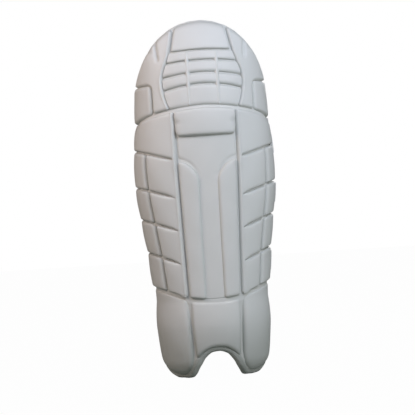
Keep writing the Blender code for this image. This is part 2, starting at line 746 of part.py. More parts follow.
def build_strap(name, z, shin, looks):
    low, high = (lambda across: z - STRAP_WIDTH / 2), (lambda across: z + STRAP_WIDTH / 2)
    slab(
        f"{name}_anchor", -1, shifted(rear_across, -ANCHOR_LENGTH), shifted(rear_across, ANCHOR_TAIL), low, high,
        (INNER_DEPTH, INNER_DEPTH + PATCH_THICKNESS), looks["webbing"], shin, bevel=0.0,
    )
    slab(
        f"{name}_loop_patch", 1, shifted(rear_across, -STRAP_OVERLAP - BEVEL / 2), rear_across,
        raised(low, -BEVEL / 2), raised(high, BEVEL / 2), (-LAYER_GAP - PATCH_THICKNESS, -LAYER_GAP),
        looks["loop"], shin, bevel=0.0,
    )
    hinge = strap_hinge(z)
    frame = empty(f"{name}_hinge", (*hinge, z), shin)
    heights = [z + STRAP_WIDTH * share for share in (-0.5, 0.0, 0.5)]
    rows = [(height, strap_line(hinge, height)) for height in heights]
    ribbon(name, rows, STRAP_THICKNESS, looks["webbing"], frame)


# ---------------------------------------------------------------- the whole guard
def empty(name, place, parent=None):
    """An empty on a joint's axis, which holds the pieces that turn about it."""
    made = bpy.data.objects.new(name, None)
    made.empty_display_size = 0.02
    bpy.context.scene.collection.objects.link(made)
    if parent:
        made.parent = parent["empty"]
        made.location = Vector(place) - parent["place"]
    else:
        made.location = place
    return {"empty": made, "place": Vector(place)}


def build():
    for old in list(bpy.data.objects):
        bpy.data.objects.remove(old, do_unlink=True)

    looks = {
        "facing": material("moulded_facing", (0.72, 0.72, 0.71), 0.55),
        "foam": material("foam_backing", (0.62, 0.62, 0.60), 0.90),
        "lining": material("lining_fabric", (0.66, 0.66, 0.66), 0.95),
        "plate": material("impact_plate", (0.30, 0.31, 0.33), 0.50),
        "webbing": material("strap_webbing", (0.68, 0.68, 0.67), 0.85),
        "loop": material("loop_patch", (0.60, 0.60, 0.60), 1.00),
    }
    shin = empty("shin_frame", (0.0, 0.0, 0.0))
    knee = empty("knee_hinge", (0.0, KNEE_HINGE_Y, KNEE_CREASE - KNEE_CREASE_DROP * KNEE_HINGE_SHARE), shin)
    instep = empty("instep_hinge", (0.0, -bulge(INSTEP_CREASE) + INSTEP_HINGE_DEPTH, INSTEP_CREASE), shin)

    build_shin(shin, looks)
    build_knee(knee, looks)
    build_instep(instep, looks)
    build_strap("knee_strap", KNEE_CREASE - KNEE_STRAP_BELOW_CREASE, shin, looks)
    build_strap("calf_strap", CALF_STRAP_HEIGHT, shin, looks)
    build_strap("ankle_strap", ANKLE_STRAP_HEIGHT, shin, looks)

    # The origin is below the middle of the whole guard, so the frame moves until its box is centred.
    bpy.context.view_layer.update()
    meshes = [made for made in bpy.data.objects if made.type == "MESH"]
    depths = [(made.matrix_world @ vertex.co).y for made in meshes for vertex in made.data.vertices]
    shin["empty"].location.y = -(min(depths) + max(depths)) / 2
    bpy.context.view_layer.update()
    for made in bpy.data.objects:
        if made.type == "EMPTY":
            print(made.name, [round(value, 5) for value in made.matrix_world.translation])


build()
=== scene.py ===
# %% [markdown]
# # A moulded cricket leg guard
# The guard is a sandwich: a matt white polyurethane facing pressed into raised blocks, a sheet of firm
# foam behind it, and a soft lining against the leg. Three sections, knee, shin and instep, meet at two
# creases, and three straps close behind the leg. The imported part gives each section's place and motion.
# The pieces below are laid over it.

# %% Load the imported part
import json
import math

import bpy
import numpy as np
from mathutils import Matrix, Vector


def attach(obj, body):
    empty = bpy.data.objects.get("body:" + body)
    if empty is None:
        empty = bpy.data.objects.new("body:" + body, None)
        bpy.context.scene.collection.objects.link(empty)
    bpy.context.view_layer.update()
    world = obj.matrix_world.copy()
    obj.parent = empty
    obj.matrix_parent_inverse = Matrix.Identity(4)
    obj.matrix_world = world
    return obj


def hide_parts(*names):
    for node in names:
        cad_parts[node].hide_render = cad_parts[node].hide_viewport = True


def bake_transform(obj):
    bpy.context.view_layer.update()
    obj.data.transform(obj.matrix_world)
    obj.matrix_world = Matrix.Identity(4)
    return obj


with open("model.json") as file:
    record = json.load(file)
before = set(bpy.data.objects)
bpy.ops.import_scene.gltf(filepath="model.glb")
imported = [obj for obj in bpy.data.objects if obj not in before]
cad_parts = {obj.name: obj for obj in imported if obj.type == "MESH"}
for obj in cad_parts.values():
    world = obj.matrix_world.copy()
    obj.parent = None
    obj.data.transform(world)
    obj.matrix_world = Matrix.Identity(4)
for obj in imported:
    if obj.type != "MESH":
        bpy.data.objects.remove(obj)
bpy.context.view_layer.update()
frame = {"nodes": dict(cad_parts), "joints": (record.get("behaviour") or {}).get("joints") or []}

# %% [markdown]
# ## The curved skin
# Every padded piece lies on one curved shell: half an ellipse round the front, and a wing behind each
# side that leans in a little. It could be sculpted, but a law of a few numbers is better here, because
# each piece can then be drawn flat, as (across, height, depth), and still fit its neighbours when bent.
# Across is 0 on the centre line, 1 at the widest line and above 1 on the wing. Depth runs inwards.

# %% Sizes of the shell
INSTEP_CREASE = 0.1325
SHIN_HEIGHT = 0.3295
KNEE_HEIGHT = 0.147
KNEE_CREASE = INSTEP_CREASE + SHIN_HEIGHT
CROWN = KNEE_CREASE + KNEE_HEIGHT
KNEE_CREASE_DROP = 0.027
DOME_RISE = 0.110
DOME_CENTRE = CROWN - DOME_RISE
FOOT_TUCK = 0.013
FOOT_TUCK_HEIGHT = 0.032
WING_REACH = 0.045
WING_TOE = 0.010
FOOT_WING_REACH = 0.024
KNEE_WING_REACH = 0.014
WING_NOTCH_BELOW = 0.040
KNEE_WING_END = 1 + KNEE_WING_REACH / WING_REACH
QUARTER = math.pi / 2


def curve(stations):
    """A smooth curve through (place, value) stations that never overshoots, with parabolas at its ends."""
    places, values = (np.array(column, float) for column in zip(*stations))
    steps = np.diff(values) / np.diff(places)
    slopes = np.zeros(len(places))
    alike = steps[:-1] * steps[1:] > 0
    slopes[1:-1][alike] = 2 * (steps[:-1] * steps[1:])[alike] / (steps[:-1] + steps[1:])[alike]
    slopes[0], slopes[-1] = 2 * steps[0] - slopes[1], 2 * steps[-1] - slopes[-2]

    def at(place):
        place = np.clip(place, places[0], places[-1])
        i = np.clip(np.searchsorted(places, place) - 1, 0, len(places) - 2)
        length = places[i + 1] - places[i]
        t = (place - places[i]) / length
        ends = values[i] * (1 + 2 * t) * (1 - t) ** 2 + values[i + 1] * t * t * (3 - 2 * t)
        return ends + length * t * (1 - t) * (slopes[i] * (1 - t) - slopes[i + 1] * t)

    return at


def foot_tuck(z):
    return FOOT_TUCK * np.maximum(0.0, 1 - z / FOOT_TUCK_HEIGHT) ** 2


width_curve = curve([
    (0.0, 0.093), (INSTEP_CREASE, 0.100), (INSTEP_CREASE + 0.22 * SHIN_HEIGHT, 0.106),
    (INSTEP_CREASE + 0.66 * SHIN_HEIGHT, 0.122), (KNEE_CREASE, 0.115), (CROWN, 0.1105),
])
bulge_curve = curve([
    (0.0, 0.080), (0.6 * INSTEP_CREASE, 0.083), (INSTEP_CREASE + 0.35 * SHIN_HEIGHT, 0.080),
    (KNEE_CREASE + 0.2 * KNEE_HEIGHT, 0.090), (CROWN, 0.066),
])
reach_curve = curve([
    (0.0, FOOT_WING_REACH), (INSTEP_CREASE, WING_REACH), (KNEE_CREASE - WING_NOTCH_BELOW, WING_REACH),
    (KNEE_CREASE - WING_NOTCH_BELOW / 2, KNEE_WING_REACH), (KNEE_CREASE, KNEE_WING_REACH),
])
half_width = lambda z: width_curve(z) - foot_tuck(z)
bulge = lambda z: bulge_curve(z) - foot_tuck(z)
rear_across = lambda z: 1 + reach_curve(z) / WING_REACH

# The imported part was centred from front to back: its instep hinge says by how much.
HINGE_DEPTH = 0.014
joints = {joint["name"]: joint for joint in frame["joints"]}
SHIFT = joints["instep_flex"]["pos_m"][1] + float(bulge(INSTEP_CREASE)) - HINGE_DEPTH
print("skin shifted", round(SHIFT * 1000, 2), "mm to the rear")


# %% Points of the skin
def skin(across, z, depth):
    """World points, as an array with x, y, z last. A negative across is on the left."""
    across, z, depth = np.broadcast_arrays(np.asarray(across, float), z, depth)
    size = np.abs(across)
    width, front = half_width(z), bulge(z)
    angle = np.minimum(size, 1) * QUARTER
    back = np.maximum(size - 1, 0)
    on_wing = size > 1
    x = np.where(on_wing, width - WING_TOE * back**2, width * np.sin(angle))
    y = np.where(on_wing, back * WING_REACH, -front * np.cos(angle))
    nx = np.where(on_wing, WING_REACH, front * np.sin(angle))
    ny = np.where(on_wing, 2 * WING_TOE * back, -width * np.cos(angle))
    length = np.hypot(nx, ny)
    x, y = x - nx / length * depth, y - ny / length * depth
    return np.stack([np.where(across < 0, -x, x), y + SHIFT, z], axis=-1)


def across_at(x, z):
    return np.arcsin(np.clip(x / half_width(z), -1, 1)) / QUARTER


def x_at(across, z):
    return half_width(z) * np.sin(np.minimum(1, np.abs(across)) * QUARTER)


def from_x(half):
    """An upright edge, from its distance to the centre line as a number or a function of height."""
    return lambda z: across_at(half(z) if callable(half) else half, z)


def raised(line, distance):
    return lambda across: line(across) + distance


def steady(value):
    """A straight edge, as a function of the place along it."""
    return lambda place: value + 0 * place


def both_sides(edge):
    """The left and the right edge of a piece that spans the centre line."""
    return lambda z: -edge(z), edge


def run_of(points):
    """Distance run at each point of a path."""
    return np.concatenate([[0], np.cumsum(np.linalg.norm(np.diff(points, axis=0), axis=1))])


def read_at(places, run, values):
    return np.stack([np.interp(places, run, column) for column in values.T], -1)


print("widest", round(float(half_width(0.35)) * 2000, 1), "mm")

# %% [markdown]
# ## The lines between the blocks
# The grooves are drawn on the skin like a tailor's marks. Side grooves climb outwards from the centre
# column, the two creases arch over the knee and under the shin, and the dome's edge closes the top.

# %% Lines on the skin
CENTRE_HALF_TOP, CENTRE_HALF_BOTTOM = 0.052, 0.0455
TOP_PANEL_HEIGHT = 0.0925
FIRST_GROOVE = KNEE_CREASE - TOP_PANEL_HEIGHT
CENTRE_SAG = 0.004
ROW_SHARES = (0.0, 0.2425, 0.485, 0.725, 1.0)
ROW_SLOPES = (0.36, 0.40, 0.37, 0.33, 0.31)
SIDE_ROWS = len(ROW_SHARES) - 1
ROW_SPAN = FIRST_GROOVE - INSTEP_CREASE - CENTRE_SAG
WING_SLOPE = 0.15
CREASE_GAP = 0.006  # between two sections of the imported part
CREASE_HALF = 0.0012  # half the gap left to see, since soft edges swell into it
KNEE_HINGE_Y = -0.030
KNEE_FLEX = math.radians(18)  # the wings have room for a little more than the knee's range
STRIP_HALF = 0.0155
SHOULDER_HEIGHT = 0.028
SHOULDER_POWER = 2.2


def share_between(low, high, place):
    return np.clip((place - low) / (high - low), 0, 1)


def outward_rise(across, z, slope):
    rise = slope * np.maximum(0, x_at(across, z) - CENTRE_HALF_BOTTOM)
    return rise + WING_SLOPE * WING_REACH * np.maximum(0, np.abs(across) - 1)


def instep_crease(across):
    x = x_at(across, INSTEP_CREASE)
    sag = CENTRE_SAG * np.minimum(1, x / CENTRE_HALF_BOTTOM) ** 2
    return INSTEP_CREASE + sag + outward_rise(across, INSTEP_CREASE, ROW_SLOPES[0])


def side_line(number):
    level = INSTEP_CREASE + CENTRE_SAG + ROW_SHARES[number] * ROW_SPAN
    if number == 0:
        return instep_crease
    return lambda across: level + outward_rise(across, level, ROW_SLOPES[number])


def knee_crease(across):
    return KNEE_CREASE - KNEE_CREASE_DROP * np.minimum(1, np.abs(across)) ** 1.5


def crease_half_gap(across):
    """Half the clearance at the knee crease, wider behind the hinge so that the wings can close."""
    behind = skin(across, KNEE_CREASE - KNEE_CREASE_DROP, 0.0)[..., 1] - SHIFT - KNEE_HINGE_Y
    closing = np.maximum(0, behind) * math.sin(KNEE_FLEX)
    return CREASE_HALF + np.maximum(0, closing - CREASE_GAP / 2) / 2


shin_top = lambda across: knee_crease(across) - crease_half_gap(across)
knee_bottom = lambda across: knee_crease(across) + crease_half_gap(across)
shin_bottom = raised(instep_crease, CREASE_HALF)
instep_top = raised(instep_crease, -CREASE_HALF)
centre_half = lambda z: CENTRE_HALF_BOTTOM + (CENTRE_HALF_TOP - CENTRE_HALF_BOTTOM) * share_between(
    INSTEP_CREASE, FIRST_GROOVE, z)
outer_column = lambda z: 0.58 + 0.08 * share_between(INSTEP_CREASE, FIRST_GROOVE, z)
seam_half = lambda z: 0.041 + 0.0055 * share_between(0.025, INSTEP_CREASE, z)
field_half = curve([
    (KNEE_CREASE, 0.059), (KNEE_CREASE + 0.3 * KNEE_HEIGHT, 0.068), (KNEE_CREASE + 0.095, 0.0535),
    (CROWN, 0.043),
])


def dome_edge(across):
    size = np.abs(across)
    over = DOME_CENTRE + DOME_RISE * np.cos(np.minimum(size, 1) * QUARTER)
    fall = np.clip((size - 1) / (KNEE_WING_END - 1), 0, 1)
    room = DOME_CENTRE - knee_bottom(KNEE_WING_END) - CREASE_GAP
    return over - room * (1 - np.sqrt(1 - fall**2))


def field_line(rise, sag):
    """A line across the knee rolls, lower at its ends."""
    return lambda across: KNEE_CREASE + rise - sag * (x_at(across, KNEE_CREASE) / 0.068) ** 2


def shoulder_line(across):
    """Top of a centre bolster: level outside, rounded down to the centre strip."""
    half = CENTRE_HALF_TOP
    share = share_between(STRIP_HALF, half, x_at(across, FIRST_GROOVE))
    return FIRST_GROOVE + CENTRE_SAG / 2 - SHOULDER_HEIGHT * (1 - share) ** SHOULDER_POWER


# The foot's outline on the front face: a bell over the shoe, then two lobes that round off outwards.
foot_line = curve([
    (0.0, 0.0525), (0.068, 0.0515), (0.137, 0.0475), (0.209, 0.040), (0.2935, 0.025), (0.39, 0.0105),
    (0.489, 0.0042), (0.579, 0.0044), (0.766, 0.0088), (0.863, 0.0135), (1.0, 0.021), (1.6, 0.031),
])
FOOT_PATH_END = 1.5


def foot_edge(across):
    return foot_line(np.abs(across))


print("grooves span", round(ROW_SPAN * 1000, 1), "mm, dome from", round(float(dome_edge(1.0)), 3))

# %% [markdown]
# ## Surfaces
# The facing is polyurethane on a knitted base: matt, with a fine pebble that only shows close up. Its
# colour drifts slightly, and painted shade darkens its grooves, rolled edges and foot, leaving ridges
# lighter. Grain, grey patches with painted shade, and weave are wanted in several finishes, so each is a
# node group, placed in a material with its own values.


# %% Node helpers
VECTOR, FLOAT, COLOUR = "NodeSocketVector", "NodeSocketFloat", "NodeSocketColor"


def node(tree, kind, place, inputs=None, **settings):
    """A new node. inputs maps each input to its value, or to the socket that feeds it."""
    made = tree.nodes.new(kind)
    made.location = place
    for key, value in settings.items():
        setattr(made, key, value)
    for key, value in (inputs or {}).items():
        if isinstance(value, bpy.types.NodeSocket):
            tree.links.new(value, made.inputs[key])
        else:
            made.inputs[key].default_value = value
    return made


def math_node(tree, place, operation, *values, clamp=False):
    made = node(tree, "ShaderNodeMath", place, dict(enumerate(values)), operation=operation, use_clamp=clamp)
    return made.outputs[0]


def new_group(name, inputs):
    """An empty node group, and the sockets that bring its inputs. inputs is [(name, socket type, value)]."""
    tree = bpy.data.node_groups.new(name, "ShaderNodeTree")
    for label, kind, value in inputs:
        socket = tree.interface.new_socket(label, in_out="INPUT", socket_type=kind)
        if value is not None:
            socket.default_value = value
    return tree, node(tree, "NodeGroupInput", (-900, 0)).outputs


def end_group(tree, outputs):
    """Gives a group its outputs. outputs is [(name, socket type, the socket that feeds it)]."""
    for label, kind, _ in outputs:
        tree.interface.new_socket(label, in_out="OUTPUT", socket_type=kind)
    node(tree, "NodeGroupOutput", (700, 0), {label: feed for label, _, feed in outputs})
    print("group", tree.name)
    return tree


# %% Pebble grain
def build_grain():
    """Height of a pebbled skin: rounded cells, with finer pores between them."""
    tree, given = new_group("pebble_grain", [
        ("Place", VECTOR, None), ("Cells per metre", FLOAT, 900.0), ("Pores", FLOAT, 0.35)])
    cells = node(tree, "ShaderNodeTexVoronoi", (-600, 150), {
        "Smoothness": 0.6, "Vector": given["Place"], "Scale": given["Cells per metre"]}, feature="SMOOTH_F1")
    finer = math_node(tree, (-780, -350), "MULTIPLY", given["Cells per metre"], 2.3)
    pores = node(tree, "ShaderNodeTexNoise", (-600, -250), {
        "Detail": 3.0, "Vector": given["Place"], "Scale": finer})
    domes = math_node(tree, (-350, 150), "SUBTRACT", 1.0, cells.outputs["Distance"])
    holes = math_node(tree, (-350, -250), "MULTIPLY", pores.outputs[0], given["Pores"])
    height = math_node(tree, (-100, 0), "SUBTRACT", domes, holes)
    return end_group(tree, [("Height", FLOAT, height)])


grain = build_grain()


# %% Grey patches, wear and painted shade
def build_dust_and_shade():
    """Colour of a used surface: clean and grey patches, wear where given, and painted shade in its dips and
    near the ground.
    """
    tree, given = new_group("dust_and_painted_shade", [
        ("Place", VECTOR, None), ("Clean", COLOUR, (0.8, 0.8, 0.8, 1)),
        ("Dusty and shaded", COLOUR, (0.6, 0.58, 0.55, 1)), ("Groove shade and wear", FLOAT, 0.0), ("Ground shade", FLOAT, 0.0),
        ("Patches per metre", FLOAT, 9.0), ("Patchiness", FLOAT, 0.25)])
    broad = node(tree, "ShaderNodeTexNoise", (-600, 150), {
        "Detail": 4.0, "Roughness": 0.6, "Vector": given["Place"], "Scale": given["Patches per metre"]})
    centred = math_node(tree, (-400, 150), "SUBTRACT", broad.outputs[0], 0.42)
    patches = math_node(tree, (-220, 150), "MULTIPLY", centred, given["Patchiness"])
    # Painted shade: grooves and rolled edges are drawn darker by their rolled share, and a strap's worn
    # edges come in the same way.
    groove_shade_and_wear = math_node(tree, (-400, -100), "POWER", given["Groove shade and wear"], 2.0, clamp=True)
    shade_and_wear_part = math_node(tree, (-220, -100), "MULTIPLY", groove_shade_and_wear, 0.55)
    # Painted shade: the colour darkens towards the ground.
    ground_shade_part = math_node(tree, (-220, -300), "MULTIPLY", given["Ground shade"], 0.55)
    painted_shade_and_wear = math_node(tree, (-120, -200), "ADD", shade_and_wear_part, ground_shade_part)
    dust_and_shade = math_node(tree, (-40, 0), "ADD", patches, painted_shade_and_wear, clamp=True)
    mix = node(tree, "ShaderNodeMix", (200, 0), data_type="RGBA")
    for feed, label in ((dust_and_shade, "Factor"), (given["Clean"], "A"), (given["Dusty and shaded"], "B")):
        tree.links.new(feed, mix.inputs[label])
    return end_group(tree, [("Colour", COLOUR, mix.outputs["Result"]), ("Dust and shade", FLOAT, dust_and_shade)])


dust_and_shade_group = build_dust_and_shade()


# %% Woven cloth
def build_weave():
    """Height of a plain weave, seen along the height and the way round, and its raised threads."""
    tree, given = new_group("plain_weave", [
        ("Place", VECTOR, None), ("Threads per metre", FLOAT, 1100.0), ("Fuzz", FLOAT, 0.4)])
    parts = node(tree, "ShaderNodeSeparateXYZ", (-750, 150), {0: given["Place"]})
    round_way = math_node(tree, (-600, 250), "ADD", parts.outputs["X"], parts.outputs["Y"])
    turn = math_node(tree, (-750, -100), "MULTIPLY", given["Threads per metre"], math.pi)
    waves = []
    for place, along in ((250, round_way), (50, parts.outputs["Z"])):
        phase = math_node(tree, (-450, place), "MULTIPLY", along, turn)
        waves.append(math_node(tree, (-300, place), "SINE", phase))
    woven = math_node(tree, (-120, 150), "MULTIPLY", *waves)
    threads = math_node(tree, (40, 150), "MULTIPLY_ADD", woven, 0.5, 0.5)
    fuzz = node(tree, "ShaderNodeTexNoise", (-300, -250), {
        "Detail": 2.0, "Vector": given["Place"], "Scale": given["Threads per metre"]})
    stray = math_node(tree, (-100, -250), "MULTIPLY", fuzz.outputs[0], given["Fuzz"])
    height = math_node(tree, (250, 0), "ADD", threads, stray)
    return end_group(tree, [("Height", FLOAT, height), ("Threads", FLOAT, threads)])


weave = build_weave()

# %% [markdown]
# The finishes themselves keep their shader in the material. The facing has a low coat of sheen from the
# polyurethane; cloth is rougher and takes its relief from the weave.


# %% Finishes
GROUND_SHADE_LINE, GROUND_SHADE_FULL = 0.125, 0.035  # heights where the painted shade near the ground starts and is darkest


def surface(name, clean, dusty_and_shaded, roughness, relief, relief_values, bump, sheen=0.0):
    """A finish with grey patches and painted shade over a relief group. bump is (strength, distance in
    metres).
    """
    made = bpy.data.materials.new(name)
    made.use_nodes = True
    tree = made.node_tree
    shader = tree.nodes["Principled BSDF"]
    place = node(tree, "ShaderNodeTexCoord", (-1100, 0)).outputs["Object"]
    # The rolled share paints shade into grooves and rolled edges, and carries a strap's worn edges.
    groove_shade_and_wear = node(tree, "ShaderNodeAttribute", (-1100, -300), attribute_name="rolled").outputs["Fac"]
    point = node(tree, "ShaderNodeNewGeometry", (-1100, 300)).outputs["Position"]
    height = node(tree, "ShaderNodeSeparateXYZ", (-950, 300), {0: point}).outputs["Z"]
    # Painted shade: below the first height given above, the colour darkens towards the ground.
    near_ground = node(tree, "ShaderNodeMapRange", (-800, 400), {
        "Value": height, "From Min": GROUND_SHADE_LINE, "From Max": GROUND_SHADE_FULL, "To Min": 0.0, "To Max": 1.0,
    }, interpolation_type="SMOOTHSTEP")
    dust_and_shade = node(tree, "ShaderNodeGroup", (-700, 200), node_tree=dust_and_shade_group)
    grained = node(tree, "ShaderNodeGroup", (-700, -250), node_tree=relief)
    for group, values in ((dust_and_shade, {"Clean": (*clean, 1), "Dusty and shaded": (*dusty_and_shaded, 1)}), (grained, relief_values)):
        for label, value in values.items():
            group.inputs[label].default_value = value
        tree.links.new(place, group.inputs["Place"])
    tree.links.new(groove_shade_and_wear, dust_and_shade.inputs["Groove shade and wear"])
    tree.links.new(near_ground.outputs[0], dust_and_shade.inputs["Ground shade"])
    rough = node(tree, "ShaderNodeMapRange", (-400, 0), {
        "To Min": roughness[0], "To Max": roughness[1], "Value": dust_and_shade.outputs["Dust and shade"]})
    lift = node(tree, "ShaderNodeBump", (-350, -300), {
        "Strength": bump[0], "Distance": bump[1], "Height": grained.outputs["Height"]})
    tree.links.new(dust_and_shade.outputs["Colour"], shader.inputs["Base Color"])
    tree.links.new(rough.outputs[0], shader.inputs["Roughness"])
    tree.links.new(lift.outputs["Normal"], shader.inputs["Normal"])
    shader.inputs["Sheen Weight"].default_value = sheen
    shader.inputs["Specular IOR Level"].default_value = 0.35
    return made


# The second colour of each finish is drawn for grey patches, wear and painted shade.
looks = {
    "facing": surface("pressed_polyurethane", (0.80, 0.80, 0.79), (0.47, 0.485, 0.455), (0.46, 0.62), grain,
                      {"Cells per metre": 850.0, "Pores": 0.35}, (0.35, 0.0004), sheen=0.1),
    "foam": surface("closed_cell_foam", (0.74, 0.74, 0.72), (0.60, 0.59, 0.56), (0.75, 0.9), grain,
                    {"Cells per metre": 420.0, "Pores": 0.8}, (0.4, 0.0006)),
    "lining": surface("brushed_lining", (0.76, 0.76, 0.75), (0.60, 0.59, 0.57), (0.85, 0.95), weave,
                      {"Threads per metre": 900.0, "Fuzz": 0.9}, (0.5, 0.0005), sheen=0.3),
    "webbing": surface("strap_webbing", (0.78, 0.78, 0.77), (0.58, 0.57, 0.55), (0.7, 0.85), weave,
                       {"Threads per metre": 620.0, "Fuzz": 0.3}, (0.7, 0.0006), sheen=0.15),
    "loop": surface("loop_pile", (0.72, 0.72, 0.71), (0.55, 0.54, 0.52), (0.9, 1.0), grain,
                    {"Cells per metre": 1300.0, "Pores": 1.2}, (0.9, 0.0008), sheen=0.4),
    "thread": surface("bonded_thread", (0.84, 0.84, 0.83), (0.7, 0.69, 0.67), (0.5, 0.6), weave,
                      {"Threads per metre": 2500.0, "Fuzz": 0.2}, (0.5, 0.0002)),
    "plate": surface("moulded_plate", (0.25, 0.26, 0.28), (0.35, 0.35, 0.36), (0.4, 0.55), grain,
                     {"Cells per metre": 1600.0, "Pores": 0.2}, (0.2, 0.0002)),
}
print(len(looks), "finishes")

# %% [markdown]
# ## One way to make a block
# A pressed block is flat on top and rolls over at its edges. It could be a bevelled box bent by
# modifiers, but the roll would stretch. Here a sheet of points is laid on the skin between four edges,
# and each point sinks by a quarter ellipse as it nears an edge. The lines of points crowd together on
# the roll, where the surface turns fast, and stay apart on the flat.

# %% Making a block
FACING_THICKNESS = 0.0082
BACKING_THICKNESS = 0.009
PLATE_THICKNESS = 0.0018
LINING_THICKNESS = 0.003
LAYER_GAP = 0.0008
BACKING_DEPTH = FACING_THICKNESS + LAYER_GAP
PLATE_DEPTH = BACKING_DEPTH + BACKING_THICKNESS + LAYER_GAP
LINING_DEPTH = PLATE_DEPTH + PLATE_THICKNESS + LAYER_GAP
SHIN_BACK = LINING_DEPTH + LINING_THICKNESS
KNEE_BACK = PLATE_DEPTH + LINING_THICKNESS  # no plate at the knee
INNER_DEPTH = SHIN_BACK + LAYER_GAP
BLOCK_DROP = 0.0064
WEB_DEPTH = 0.0056
ROLL_LINES = 6
SHARP_ANGLE = math.radians(50)
PITCH = 0.004


def spread(length, rims, pitch):
    """Shares of a length for mesh lines, crowded within each rolled rim."""
    bend = 1 - np.cos(np.linspace(0, QUARTER, ROLL_LINES))
    first = rims[0] * bend if rims[0] else np.zeros(1)
    last = length - rims[1] * bend[::-1] if rims[1] else np.full(1, length)
    if first[-1] >= last[0]:
        scale = 0.98 * length / (first[-1] + length - last[0])
        first, last = first * scale, length - (length - last) * scale
    count = max(1, math.ceil((last[0] - first[-1]) / pitch))
    return np.concatenate([first[:-1], np.linspace(first[-1], last[0], count + 1), last[1:]]) / length


def lay_out(left, right, low, high, over, up):
    """Grids of across and height for shares over and up between four edges."""
    middle = (left(low(0.5)) + right(low(0.5))) / 2
    z = low(middle) + up[:, None] * (high(middle) - low(middle)) + 0 * over[None, :]
    for _ in range(14):
        across = left(z) + over[None, :] * (right(z) - left(z))
        z = low(across) + up[:, None] * (high(across) - low(across))
    return across, z


def run_along(points, axis):
    """Distance run along the grid from its first line."""
    step = np.linalg.norm(np.diff(points, axis=axis), axis=-1)
    start = np.zeros_like(np.take(step, [0], axis=axis))
    return np.cumsum(np.concatenate([start, step], axis=axis), axis=axis)


def squareness(points, axis):
    """Sine of the angle between the grid's two directions on its first and last line along an axis."""
    along, across = np.gradient(points, axis=axis), np.gradient(points, axis=1 - axis)
    sine = np.linalg.norm(np.cross(along, across), axis=-1)
    sine = sine / (np.linalg.norm(along, axis=-1) * np.linalg.norm(across, axis=-1) + 1e-12)
    return np.take(sine, [0], axis=axis), np.take(sine, [-1], axis=axis)


def rim_shares(points, rims):
    """How near each point is to a rim: 0 on the flat, 1 on the very edge. rims is left, right, low, high."""
    nearness = []
    for axis, pair in ((1, rims[:2]), (0, rims[2:])):
        run = run_along(points, axis)
        total = np.take(run, [-1], axis=axis)
        first, last = squareness(points, axis)
        near = np.zeros(points.shape[:2])
        if pair[0]:
            near = np.maximum(near, 1 - run * first / pair[0])
        if pair[1]:
            near = np.maximum(near, 1 - (total - run) * last / pair[1])
        nearness.append(np.maximum(near, 0))
    return nearness


def unevenness(points, size=0.0003):
    """The slight waviness of pressed foam, the same on every run."""
    x, y, z = (points[..., i] for i in range(3))
    broad = np.sin(71 * x + 33 * z + 1.3) * np.sin(58 * z - 41 * y + 0.4)
    return size * (broad + np.sin(127 * x - 96 * z + 2.1) * 0.5)


def box_mesh(name, outer, inner, rolled):
    """A closed mesh from an outer and an inner grid of points."""
    rows, columns = outer.shape[:2]
    total = rows * columns
    index = np.arange(total).reshape(rows, columns)
    a, b, c, d = index[:-1, :-1], index[:-1, 1:], index[1:, 1:], index[1:, :-1]
    top = np.stack([a, b, c, d], -1).reshape(-1, 4)
    under = np.stack([a, d, c, b], -1).reshape(-1, 4) + total
    border = np.concatenate([index[0, :-1], index[:-1, -1], index[-1, :0:-1], index[:0:-1, 0]])
    after = np.roll(border, -1)
    wall = np.stack([border, border + total, after + total, after], -1)
    faces = np.concatenate([top, under, wall])
    points = np.concatenate([outer.reshape(-1, 3), inner.reshape(-1, 3)])
    # The inner face takes the full rolled share, so the finish draws it as dark as a groove's bottom.
    return mesh_object(name, points, faces, np.concatenate([rolled.ravel(), np.ones(total)]))


def mesh_object(name, points, faces, rolled=None):
    mesh = bpy.data.meshes.new(name)
    mesh.from_pydata(points.tolist(), [], faces if isinstance(faces, list) else faces.tolist())
    volume = sum(p.area * p.center.dot(p.normal) for p in mesh.polygons)
    if volume < 0:
        mesh.flip_normals()
    mesh.shade_smooth()
    mesh.set_sharp_from_angle(angle=SHARP_ANGLE)
    if rolled is not None:
        shares = mesh.attributes.new("rolled", "FLOAT", "POINT")
        shares.data.foreach_set("value", rolled.astype(np.float32))
    made = bpy.data.objects.new(name, mesh)
    bpy.context.scene.collection.objects.link(made)
    return made


def pad(name, left, right, low, high, rims, side=1, top=0.0, under=FACING_THICKNESS, drop=BLOCK_DROP,
        crown=0.0006, pitch=PITCH, carve=None, fade=None, wavy=0.0003):
    """A block between four edges. rims is how wide the left, right, low and high edges roll."""
    rough = np.linspace(0, 1, 13)
    across, z = lay_out(left, right, low, high, rough, rough)
    coarse = skin(across, z, top)
    over = spread(run_along(coarse, 1)[6, -1], rims[:2], pitch)
    up = spread(run_along(coarse, 0)[-1, 6], rims[2:], pitch)
    across, z = lay_out(left, right, low, high, over, up)
    flat = skin(across, z, top)
    sideways, upright = rim_shares(flat, rims)
    if fade:
        upright = upright * fade(np.abs(flat[..., 0]), z)
    # The rolled share shapes each roll, and the finish also paints shade by it, darkest in the groove.
    edge = np.minimum(1, np.hypot(sideways, upright))
    swell = crown * (1 - (2 * over[None, :] - 1) ** 2) * (1 - (2 * up[:, None] - 1) ** 2)
    depth = top + drop * (1 - np.sqrt(1 - edge**2)) - swell + unevenness(flat, wavy) * (1 - edge)
    # A carving's second value paints shade into its dips, on top of the rolled share.
    if carve:
        cut, shade = carve(np.abs(flat[..., 0]), z)
        depth, edge = depth + cut, np.maximum(edge, shade)
    depth = np.minimum(depth, under - 0.0004)
    outer, inner = skin(across, z, depth), skin(across, z, under)
    if side < 0:
        outer, inner = outer * (-1, 1, 1), inner * (-1, 1, 1)
    return box_mesh(name, outer, inner, edge)


